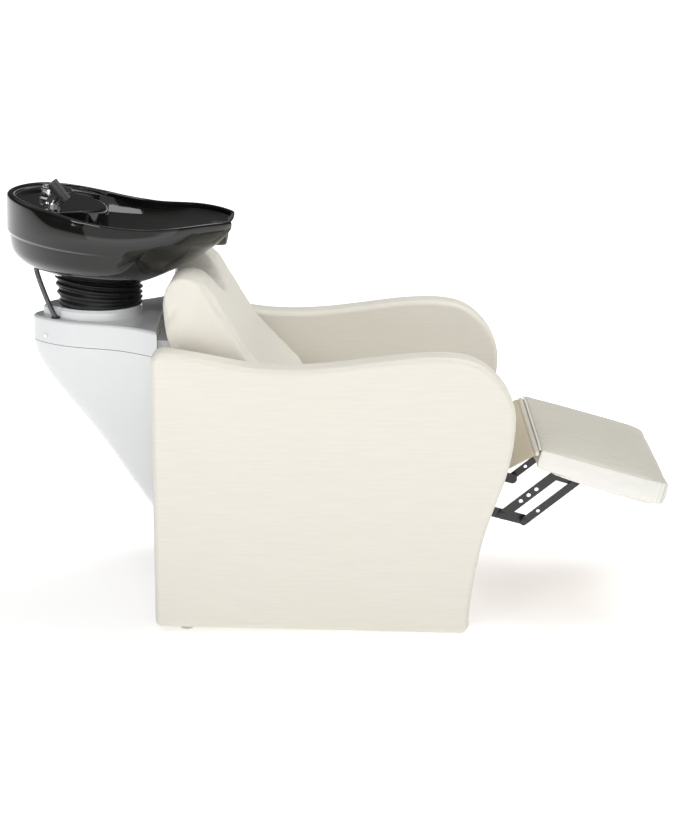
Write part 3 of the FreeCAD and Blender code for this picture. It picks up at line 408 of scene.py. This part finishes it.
# ---- stuffed pieces --------------------------------------------------------------------------------
def stuffed(name, node, material, voxel=0.006, shrink=0.004, pressure=4.0, cap=0.012, rounds=8):
    """A CAD soft solid remeshed, rounded and swollen by cloth simulation, with a limit on the swelling."""
    thing = new_object(name, nodes[node].data.copy(), material)
    remesh = thing.modifiers.new("remesh", "REMESH")
    remesh.mode = "VOXEL"
    remesh.voxel_size = voxel
    soften = thing.modifiers.new("soften", "SMOOTH")
    soften.iterations = rounds
    soften.factor = 0.5
    apply_modifiers(thing)
    start = coordinates(thing.data) - normals(thing.data) * shrink
    move_vertices(thing.data, start)
    cloth = thing.modifiers.new("cloth", "CLOTH")
    cloth.settings.use_pressure = True
    cloth.settings.uniform_pressure_force = pressure
    cloth.settings.effector_weights.gravity = 0
    cloth.settings.quality = 5
    cloth.collision_settings.use_collision = False
    for number in range(1, 21):
        bpy.context.scene.frame_set(number)
    moved = coordinates(baked(thing))
    thing.modifiers.clear()
    bpy.context.scene.frame_set(1)
    swell = moved - start
    length = np.linalg.norm(swell, axis=1, keepdims=True)
    move_vertices(thing.data, start + swell * np.minimum(1, cap / np.maximum(length, 1e-9)))
    divide = thing.modifiers.new("divide", "SUBSURF")
    divide.levels = 1
    divide.render_levels = 1
    apply_modifiers(thing)
    for face in thing.data.polygons:
        face.use_smooth = True
    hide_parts(node)
    return thing


def welt(name, points, material, radius=1.7 * mm, closed=True, body="frame"):
    """A sewn welt along a seam."""
    curve = bpy.data.curves.new(name, "CURVE")
    curve.dimensions = "3D"
    curve.bevel_depth = radius
    curve.bevel_resolution = 3
    spline = curve.splines.new("NURBS")
    spline.points.add(len(points) - 1)
    for spot, point in zip(spline.points, points):
        spot.co = (*point, 1)
    spline.order_u = 3
    spline.use_cyclic_u = closed
    spline.use_endpoint_u = not closed
    curve.materials.append(material)
    thing = bpy.data.objects.new(name, curve)
    bpy.context.scene.collection.objects.link(thing)
    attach(thing, body)
    return thing


# ---- side panels -----------------------------------------------------------------------------------
ARM_STEP = 3 * mm
ARM_ROUND = 13 * mm
ARM_CROWN = 4 * mm


def cad_outline(node, plane, step):
    """The outline of a CAD slab's face at y = plane, evenly spaced, anticlockwise in X and Z."""
    spots = {(round(v.co.x, 6), round(v.co.z, 6)) for v in nodes[node].data.vertices
             if abs(v.co.y - plane) < 1e-5}
    spots = np.array(sorted(spots))
    middle = (spots.min(0) + spots.max(0)) / 2
    turn = np.arctan2(spots[:, 1] - middle[1], spots[:, 0] - middle[0])
    ring = spots[np.argsort(turn)]
    ring = np.vstack([ring, ring[:1]])
    length = np.concatenate([[0], np.cumsum(np.linalg.norm(np.diff(ring, axis=0), axis=1))])
    count = int(length[-1] / step)
    marks = np.linspace(0, length[-1], count, endpoint=False)
    return np.stack([np.interp(marks, length, ring[:, axis]) for axis in (0, 1)], axis=1), middle


def outward(ring):
    """Unit outward normals of an anticlockwise ring, smoothed over a few points."""
    tangent = np.roll(ring, -3, axis=0) - np.roll(ring, 3, axis=0)
    tangent /= np.linalg.norm(tangent, axis=1, keepdims=True)
    return np.stack([tangent[:, 1], -tangent[:, 0]], axis=1)


def arm_panel(name, side, material):
    """A foam panel: two faces sewn to a band round the edge, gathered round the front curve."""
    low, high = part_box(name)
    outer = high.y if side > 0 else low.y
    inner = low.y if side > 0 else high.y
    ring, middle = cad_outline(name, outer, ARM_STEP)
    facing = outward(ring)
    thick = abs(outer - inner)
    # Gathers run across the band where the outline turns round the armrest's front.
    run = np.arange(len(ring)) * ARM_STEP
    front = smoothstep(middle[0] + 0.20, middle[0] + 0.34, ring[:, 0])
    front *= smoothstep(0.40, 0.52, ring[:, 1])
    gather = front * 0.9 * mm * np.sin(run / (9 * mm) * 2 * math.pi + 1.7 * np.sin(run / 0.05))
    rows = []

    def row(inset, depth, share=0.0):
        flat = ring - facing * (inset + gather * share)[:, None]
        rows.append([(x, outer + (inner - outer) * depth / thick, z) for x, z in flat])

    def face(depth, crown, order):
        edge = ring - facing * (ARM_ROUND + 2 * mm)
        for scale in order:
            spots = middle + (edge - middle) * scale
            lift = crown * (1 - scale ** 6)
            y = outer + (inner - outer) * (depth - lift if depth < thick / 2 else depth + lift) / thick
            rows.append([(x, y, z) for x, z in spots])

    flat = np.zeros(len(ring))
    face(ARM_CROWN, ARM_CROWN, (0.02, 0.25, 0.5, 0.7, 0.84, 0.93, 0.98, 1.0))
    seam = [0.5 if step == 3 else 0.0 for step in range(7)]
    for step in range(7):
        angle = math.pi / 2 * (1 - step / 6)
        inset = ARM_ROUND * (1 - math.cos(angle)) + 2.2 * mm * seam[step]
        depth = ARM_CROWN + ARM_ROUND * (1 - math.sin(angle)) + 1.0 * mm * seam[step]
        row(flat + inset, depth, 0.35)
    band = thick - 2 * (ARM_CROWN + ARM_ROUND)
    for step in range(1, 10):
        share = step / 10
        bulge = 1.6 * mm * math.sin(math.pi * share)
        row(flat + 1.6 * mm - bulge, ARM_CROWN + ARM_ROUND + band * share,
            1 - 0.6 * math.sin(math.pi * share))
    for step in range(7):
        angle = math.pi / 2 * step / 6
        inset = ARM_ROUND * (1 - math.cos(angle)) + 2.2 * mm * seam[step]
        depth = thick - ARM_CROWN - ARM_ROUND * (1 - math.sin(angle)) - 1.0 * mm * seam[step]
        row(flat + inset, depth, 0.35)
    face(thick - ARM_CROWN, ARM_CROWN, (1.0, 0.98, 0.93, 0.84, 0.7, 0.5, 0.25, 0.02))
    if side > 0:
        rows.reverse()
    mesh = grid_mesh(name + "_cover", rows)
    thing = new_object(name + "_cover", mesh, material)
    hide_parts(name)
    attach(thing, "frame")
    return thing


# ---- basin -----------------------------------------------------------------------------------------
# The basin is worked out level, in millimetres about its foot, and then tilted forwards.
FOOT_X = -528.0
FOOT_Z = 728.0
TILT = math.radians(6.5)
DECK = 884.0
DRAIN_X = -470.0
# Level, rear reach, front reach and half width of the outside and of the inside.
OUTSIDE = [(728, 96, 98, 96), (738, 140, 118, 128), (751, 176, 142, 160), (772, 196, 176, 189),
           (803, 203, 222, 209), (840, 206, 270, 222), (880, 210, 311, 230), (925, 213, 332, 234)]
INSIDE = [(744, 60, 62, 66), (752, 96, 88, 104), (772, 112, 142, 150), (803, 116, 196, 187),
          (840, 118, 248, 207), (880, 120, 294, 218), (935, 124, 324, 224)]
RECESS = [(884, 196, 100, 214), (935, 203, 100, 222)]


def tilted(x, y, z):
    """A level basin point in the unit's frame, in metres."""
    ahead = x - FOOT_X
    up = z - FOOT_Z
    return (mm * (FOOT_X + ahead * math.cos(TILT) + up * math.sin(TILT)), mm * y,
            mm * (FOOT_Z - ahead * math.sin(TILT) + up * math.cos(TILT)))


def eased(low, high, value):
    return float(smoothstep(low, high, value))


def section(table, level):
    levels = [entry[0] for entry in table]
    return [float(np.interp(level, levels, [entry[part] for entry in table])) for part in (1, 2, 3)]


def waist(forward):
    """The oval is narrowed behind the horns of its front end."""
    return 1 - 0.05 * math.exp(-((forward - 0.82) / 0.12) ** 2)


def outside_point(angle, level):
    """A point of the outer wall, with the band that stands proud round the rear."""
    rear, front, half = section(OUTSIDE, level)
    forward = math.cos(angle)
    power = 1.0 if forward > 0 else 1.06
    side = math.copysign(abs(math.sin(angle)) ** power, math.sin(angle))
    x = forward * (front if forward > 0 else rear)
    y = half * side * waist(forward)
    proud = 6.0 * eased(0.30, 0.62, 0.5 - 0.5 * forward) * eased(812, 818, level)
    grown = 1 + proud / math.hypot(x, y)
    return np.array([FOOT_X + x * grown, y * grown, level])


def rim_level(x, y):
    """The rim rises to the rear and to the front horns, and dips into the neck opening between them."""
    level = 878 + 22 * eased(455, 720, -x) + 17 * eased(-428, -255, x)
    if x > -400 and abs(y) < 78:
        notch = 896 + 0.12 * (x + 330) - math.sqrt(max(0.0, 76.0 ** 2 - min(abs(y), 76.0) ** 2))
        level += (min(level, notch) - level) * eased(0, 8, 78 - abs(y))
    return level


def within(table, level, x, y):
    """Positive inside an oval section, 0 on it."""
    rear, front, half = section(table, level)
    along = (x - FOOT_X) / (front if x > FOOT_X else rear)
    across = y / (half * (waist(along) if along > 0 else 1))
    return 1.8 * (1 - along * along - across * across)


def in_bowl(level, x, y):
    """Positive inside the bowl, which the tap deck's tongue cuts into from the rear."""
    oval = within(INSIDE, level, x, y)
    tongue = (x - (-520 + 15 * (DECK - level) / 154 - 0.0052 * y * y)) / 55
    mix = min(1.0, max(0.0, 0.5 + 0.5 * (tongue - oval) / 0.35))
    depth = tongue * (1 - mix) + oval * mix - 0.35 * mix * (1 - mix)
    if level < 772:
        depth = max(depth, (34 + 1.6 * (level - 744) - math.hypot(x - DRAIN_X, y)) / 55)
    return depth


def in_recess(level, x, y):
    return max(within(RECESS, level, x, y), within(INSIDE, level, x, y))


def reach(inside, level, heading):
    """The point of a hollow's wall along a heading from the bowl's middle."""
    middle = -470 + 30 * eased(750, 800, level)
    low, high = 0.0, 330.0
    for _ in range(22):
        probe = (low + high) / 2
        if inside(level, middle + probe * heading[0], probe * heading[1]) > 0:
            low = probe
        else:
            high = probe
    return np.array([middle + low * heading[0], low * heading[1], level])


def basin_column(angle):
    """One column of the basin: foot, outer wall, rim, tap recess, deck, bowl, floor and drain."""
    guess = outside_point(angle, 888)
    top = rim_level(guess[0], guess[1])
    edge = top - 8
    at_rear = 1 - eased(0.45, 0.8, math.cos(angle))
    marks = [FOOT_Z + (806 - FOOT_Z) * (step / 9) ** 1.5 for step in range(10)]
    marks += [809, 811.5, 813.5, 815.5, 817.5, 820]
    marks += [824 + 53 * step / 8 for step in range(9)]
    points = []
    for mark in marks:
        share = (mark - FOOT_Z) / (877 - FOOT_Z)
        scaled = FOOT_Z + (edge - FOOT_Z) * share
        upper = 824 + (edge - 824) * (mark - 824) / 53 if mark > 824 else mark
        level = scaled + (upper - scaled) * at_rear
        spot = outside_point(angle, level)
        roll = eased(-0.8, -0.4, math.cos(angle)) * 12 * max(0.0, 1 - (edge - level) / 42) ** 2
        flat = np.array([spot[0] - FOOT_X, spot[1], 0])
        points.append(spot - flat / np.linalg.norm(flat) * roll)
    outer = points[-1]
    heading = np.array([outer[0] + 440, outer[1]])
    heading = heading / np.linalg.norm(heading)
    inner = reach(in_recess, edge + 2, heading)
    if np.linalg.norm(outer[:2] - inner[:2]) < 7 or np.dot(outer[:2] - inner[:2], heading) < 7:
        inner[:2] = outer[:2] - heading * 7
    for step in range(1, 8):
        turn = math.pi * step / 8
        middle = (outer + inner) / 2
        points.append(middle + (outer - inner) / 2 * math.cos(turn) + np.array([0, 0, 7.0 * math.sin(turn)]))
    points.append(inner)
    deck = min(DECK, top - 13)
    for step in range(1, 5):
        level = edge + 2 + (deck + 4 - edge - 2) * step / 4
        spot = reach(in_recess, level, heading)
        limit = np.dot(inner[:2] - spot[:2], heading)
        if limit < 0:
            spot[:2] = inner[:2]
        points.append(spot)
    wide = points[-1].copy()
    narrow = reach(in_bowl, deck - 2, heading)
    if np.dot(wide[:2] - narrow[:2], heading) < 0:
        narrow[:2] = wide[:2]
    bead = eased(6, 40, float(np.linalg.norm(wide[:2] - narrow[:2])))
    for share, lift in ((0.05, 1.2), (0.14, 0.1), (0.4, 0.0), (0.7, 0.0), (0.90, 0.6), (0.95, 1.2),
                        (0.985, 0.4)):
        spot = wide + (narrow - wide) * share
        points.append(np.array([spot[0], spot[1], deck + lift * bead]))
    last = narrow
    for step in range(1, 15):
        level = deck - 2 + (750 - deck + 2) * ((step - 0.5) / 13.5) ** 0.9
        spot = reach(in_bowl, level, heading)
        if level > 800 and np.dot(spot[:2] - last[:2], heading) > 0:
            spot[:2] = last[:2]
        last = spot
        points.append(spot)
    drain = np.array([DRAIN_X, 0, 745.6])
    floor = points[-1]
    way = np.array([floor[0] - DRAIN_X, floor[1]])
    way = way / np.linalg.norm(way)
    hole = np.array([DRAIN_X + 22.6 * way[0], 22.6 * way[1], 745.6])
    for share in (0.35, 0.7, 1.0):
        spot = floor + (hole - floor) * share
        points.append(np.array([spot[0], spot[1], 745.6 + (floor[2] - 745.6) * (1 - share) ** 2]))
    points.append(np.array([hole[0], hole[1], FOOT_Z + 0.2]))
    return points


def basin_angles():
    """Headings round the foot, closer together across the neck opening and its horns."""
    front = [0.62 * step / 150 for step in range(-150, 150)]
    rest = [0.62 + (2 * math.pi - 1.24) * step / 260 for step in range(260)]
    return front + rest


def make_basin(material):
    columns = [basin_column(angle) for angle in basin_angles()]
    rows = [[tilted(*column[row]) for column in columns] for row in range(len(columns[0]))]
    thing = new_object("basin_glazed", grid_mesh("basin_glazed", rows, close_across=True), material)
    points = thing.modifiers.new("even", "SMOOTH")
    points.iterations = 2
    points.factor = 0.4
    divide = thing.modifiers.new("divide", "SUBSURF")
    divide.levels = 1
    divide.render_levels = 1
    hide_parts("basin")
    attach(thing, "basin_body")
    return thing


def make_neck_rest(material):
    """A gel saddle that sits in the neck opening, with a lip over the wall on both sides."""
    across = [(-24, 4), (-25, 9), (-22, 12.5), (-10, 12), (0, 11.5), (10, 12), (22, 12.5), (25, 9), (24, 4),
              (22, 0.4), (0, 0.4), (-22, 0.4)]
    rows = []
    for step in range(-30, 31):
        angle = math.radians(62) * step / 30
        end = 1 - 0.35 * (abs(step) / 30) ** 8
        row = []
        for along, inward in across:
            distance = 76 - inward * end
            x = -276 + along * end
            row.append(tilted(x, distance * math.sin(angle),
                              896 + 0.12 * (x + 330) - distance * math.cos(angle)))
        rows.append(row)
    thing = new_object("neck_rest_gel", grid_mesh("neck_rest_gel", rows), material)
    divide = thing.modifiers.new("divide", "SUBSURF")
    divide.levels = 2
    divide.render_levels = 2
    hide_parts("neck_rest")
    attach(thing, "basin_body")
    return thing


# ---- gaiter and spray hose -------------------------------------------------------------------------
def make_gaiter(material):
    """A rubber bellows whose folds run slightly aslant, from the collar to the basin's foot."""
    low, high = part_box("gaiter")
    foot = Vector((-0.524, 0, low.z))
    top = Vector(tilted(FOOT_X, 0, FOOT_Z - 0.4))
    count = 160
    levels = 72
    rows = []
    for level in range(levels + 1):
        share = level / levels
        middle = foot.lerp(top, share)
        lean = TILT * share
        row = []
        for step in range(count):
            angle = 2 * math.pi * step / count
            slant = (0.06 + 0.14 * share) * math.sin(angle + 0.5) + 0.02 * math.sin(3 * angle)
            fade = math.sin(math.pi * share) ** 0.4 if 0 < share < 1 else 0.0
            fold = math.sin(2 * math.pi * 4.0 * (share + slant * fade))
            radius = 0.0905 + 0.0055 * share + (0.0030 + 0.0012 * share) * fold * (1 - 0.25 * abs(fold))
            radius += 0.0012 * fade * noise.noise(Vector((3 * math.cos(angle), 3 * math.sin(angle),
                                                          7 * share)))
            x = radius * math.cos(angle)
            row.append((middle.x + x * math.cos(lean), radius * math.sin(angle),
                        middle.z - x * math.sin(lean)))
        rows.append(row)
    inner = [[tuple(Vector(point).lerp(foot.lerp(top, index / levels), 0.045)) for point in row]
             for index, row in reversed(list(enumerate(rows)))]
    mesh = grid_mesh("gaiter_bellows", rows + inner, close_across=True)
    thing = new_object("gaiter_bellows", mesh, material)
    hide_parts("gaiter")
    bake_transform(thing)
    return thing


SPRAY_ROUTE = [(-0.657, -0.060, 0.780), (-0.6595, -0.060, 0.757), (-0.653, -0.060, 0.733),
               (-0.6415, -0.059, 0.698), (-0.6295, -0.0575, 0.667), (-0.619, -0.056, 0.644),
               (-0.616, -0.0555, 0.622), (-0.616, -0.055, 0.600)]


def nurbs_line(points, resolution=16):
    """Points along the smooth line of a route, as Blender evaluates it."""
    curve = bpy.data.curves.new("route", "CURVE")
    curve.dimensions = "3D"
    curve.resolution_u = resolution
    spline = curve.splines.new("NURBS")
    spline.points.add(len(points) - 1)
    for spot, point in zip(spline.points, points):
        spot.co = (*point, 1)
    spline.order_u = 3
    spline.use_endpoint_u = True
    thing = bpy.data.objects.new("route", curve)
    bpy.context.scene.collection.objects.link(thing)
    bpy.context.view_layer.update()
    mesh = bpy.data.meshes.new_from_object(thing)
    line = [vertex.co.copy() for vertex in mesh.vertices]
    bpy.data.objects.remove(thing)
    return line


def make_spray_hose(material):
    line = nurbs_line(SPRAY_ROUTE)
    radius = 5.5 * mm
    count = 24
    rows = []
    for index, point in enumerate(line):
        heading = (line[min(index + 1, len(line) - 1)] - line[max(index - 1, 0)]).normalized()
        across = heading.cross(Vector((0, 1, 0))).normalized()
        other = heading.cross(across)
        ring = []
        for step in range(count):
            angle = 2 * math.pi * step / count
            ring.append(point + (across * math.cos(angle) + other * math.sin(angle)) * radius)
        rows.append(ring)
    thing = new_object("spray_hose_braided", grid_mesh("spray_hose_braided", rows), material)
    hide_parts("spray_hose")
    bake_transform(thing)
    return thing


# ---- footrest --------------------------------------------------------------------------------------
PAD_X = 0.4435
PAD_Z = 0.391
PAD_TILT = math.radians(16)
PAD_HALF = 0.252
PAD_LENGTH = 0.300


def make_inner_hose(name, node, material):
    """A hose inside the pedestal, copied from its CAD node."""
    thing = new_object(name, nodes[node].data.copy(), material)
    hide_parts(node)
    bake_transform(thing)
    return thing


def shape_pad(thing):
    """Crown the pad's top and round its front corners; the covers gather round them."""
    points = coordinates(thing.data)
    ahead = points[:, 0] - PAD_X
    up = points[:, 2] - PAD_Z
    along = ahead * math.cos(PAD_TILT) - up * math.sin(PAD_TILT)
    high = ahead * math.sin(PAD_TILT) + up * math.cos(PAD_TILT)
    side = np.clip(points[:, 1] / PAD_HALF, -1, 1)
    length = np.clip(along / PAD_LENGTH, 0, 1)
    on_top = smoothstep(-0.030, -0.004, high)
    dome = (1 - np.abs(side) ** 3) * (1 - np.abs(2 * length - 1) ** 4)
    high = high + 0.019 * dome * on_top
    corner = np.clip((along - (PAD_LENGTH - 0.055)) / 0.055, 0, 1)
    narrow = 0.055 * (1 - np.sqrt(1 - np.minimum(corner, 0.98) ** 2)) / PAD_HALF
    y = points[:, 1] * (1 - narrow)
    at_end = smoothstep(0.93, 0.99, np.abs(side)) * smoothstep(PAD_LENGTH - 0.09, PAD_LENGTH - 0.03, along)
    y = y - np.sign(y) * at_end * 0.0016 * np.sin(along / 0.011 * 2 * math.pi)
    moved = np.stack([PAD_X + along * math.cos(PAD_TILT) + high * math.sin(PAD_TILT), y,
                      PAD_Z - along * math.sin(PAD_TILT) + high * math.cos(PAD_TILT)], axis=1)
    move_vertices(thing.data, moved)


FLAP_X = 0.434
FLAP_Z = 0.384
FLAP_TILT = math.radians(28)


def make_flap(material):
    """A thin upholstered panel that hangs from the pad's rear seam."""
    outline = [(-4, 3), (-12, 5.2), (-34, 5.4), (-58, 4.6), (-70, 2.6), (-73.4, -0.6), (-70, -3.4), (-56,
                                                                                                     -3.2),
               (-32, -3.0), (-12, -3.0), (-4, -2.6)]
    rows = []
    places = [-1, -0.996, -0.985, -0.96] + [step / 20 for step in range(-18, 19)] + [0.96, 0.985, 0.996, 1]
    for place in places:
        thin = 1 - 0.75 * abs(place) ** 60
        row = []
        for along, up in outline:
            along, up = along * mm, (1.2 + (up - 1.2) * thin) * mm
            row.append((FLAP_X + along * math.cos(FLAP_TILT) - up * math.sin(FLAP_TILT), 0.2495 * place,
                        FLAP_Z + along * math.sin(FLAP_TILT) + up * math.cos(FLAP_TILT)))
        rows.append(row)
    thing = new_object("footrest_flap_cover", grid_mesh("footrest_flap_cover", rows), material)
    divide = thing.modifiers.new("divide", "SUBSURF")
    divide.levels = 2
    divide.render_levels = 2
    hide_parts("footrest_flap")
    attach(thing, "flap")
    return thing


def make_fold_roll(material):
    """The vinyl roll along the pad's rear seam, over the flap's hinge."""
    count = 28
    rows = []
    for step in range(61):
        place = step / 30 - 1
        radius = 0.0064 * (1 - 0.5 * abs(place) ** 40) + 0.0003 * math.sin(step * 1.9)
        rows.append([(FLAP_X + 0.001 + radius * math.cos(2 * math.pi * turn / count), 0.2475 * place,
                      FLAP_Z + radius * math.sin(2 * math.pi * turn / count)) for turn in range(count)])
    thing = new_object("flap_fold_roll", grid_mesh("flap_fold_roll", rows), material)
    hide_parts("flap_hinge")
    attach(thing, "flap")
    return thing


def make_pad_welt(material):
    """Piping along the pad's rear top seam."""
    line = [(PAD_X - 0.001, -0.246 + 0.0123 * step, PAD_Z - 0.001 + 0.004 * (1 - (step / 20 - 1) ** 4))
            for step in range(41)]
    return welt("footrest_piping", line, material, radius=2.2 * mm, closed=False, body="footrest")


def make_floor():
    mesh = bpy.data.meshes.new("floor")
    reach = 14.0
    mesh.from_pydata([(-reach, -reach, 0), (reach, -reach, 0), (reach, reach, 0), (-reach, reach, 0)], [],
                     [(0, 1, 2, 3)])
    surface = Surface("pale_floor", (0.86, 0.86, 0.86), 0.7)
    surface.tint(surface.noise(size=0.8), 0.2, 0.8, (0.855, 0.855, 0.855), (0.875, 0.875, 0.875))
    distance = surface.tree.nodes.new("ShaderNodeVectorMath")
    distance.operation = "LENGTH"
    surface.tree.links.new(surface.place, distance.inputs[0])
    span = surface.tree.nodes.new("ShaderNodeMapRange")
    span.interpolation_type = "SMOOTHSTEP"
    for socket, number in (("From Min", 0.8), ("From Max", 2.6), ("To Min", 0.48), ("To Max", 1.0)):
        span.inputs[socket].default_value = number
    surface.tree.links.new(distance.outputs["Value"], span.inputs["Value"])
    surface.set("Emission Color", (1, 1, 1, 1))
    surface.tree.links.new(span.outputs["Result"], surface.shader.inputs["Emission Strength"])
    thing = new_object("floor", mesh, surface.material)
    thing.location.z = -0.0005


# ---- making it all ---------------------------------------------------------------------------------
make_camera()
make_studio()
make_floor()
surfaces = make_materials()
dress_cad(surfaces)
arm_panel("arm_panel_left", 1, surfaces["arm"])
arm_panel("arm_panel_right", -1, surfaces["arm"])
for name, node, key, body, voxel, shrink, cap, rounds in (
        ("backrest_cover", "backrest_cushion", "back", "frame", 0.006, 0.004, 0.009, 8),
        ("seat_cover", "seat_cushion", "back", "frame", 0.006, 0.004, 0.009, 8),
        ("rear_panel_cover", "rear_panel", "arm", "frame", 0.004, 0.001, 0.002, 2),
        ("footrest_cover", "footrest_cushion", "pad", "footrest", 0.005, 0.002, 0.004, 3)):
    piece = stuffed(name, node, surfaces[key], voxel=voxel, shrink=shrink, cap=cap, rounds=rounds)
    if node == "footrest_cushion":
        shape_pad(piece)
    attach(piece, body)
make_flap(surfaces["flap"])
make_fold_roll(surfaces["pad"])
make_pad_welt(surfaces["welt"])
make_basin(surfaces["glaze"])
make_neck_rest(surfaces["gel"])
make_gaiter(surfaces["rubber"])
make_spray_hose(surfaces["braid"])
make_inner_hose("supply_hose_pair", "supply_hoses", surfaces["braid"])
make_inner_hose("waste_hose_ribbed", "waste_hose", surfaces["rubber"])
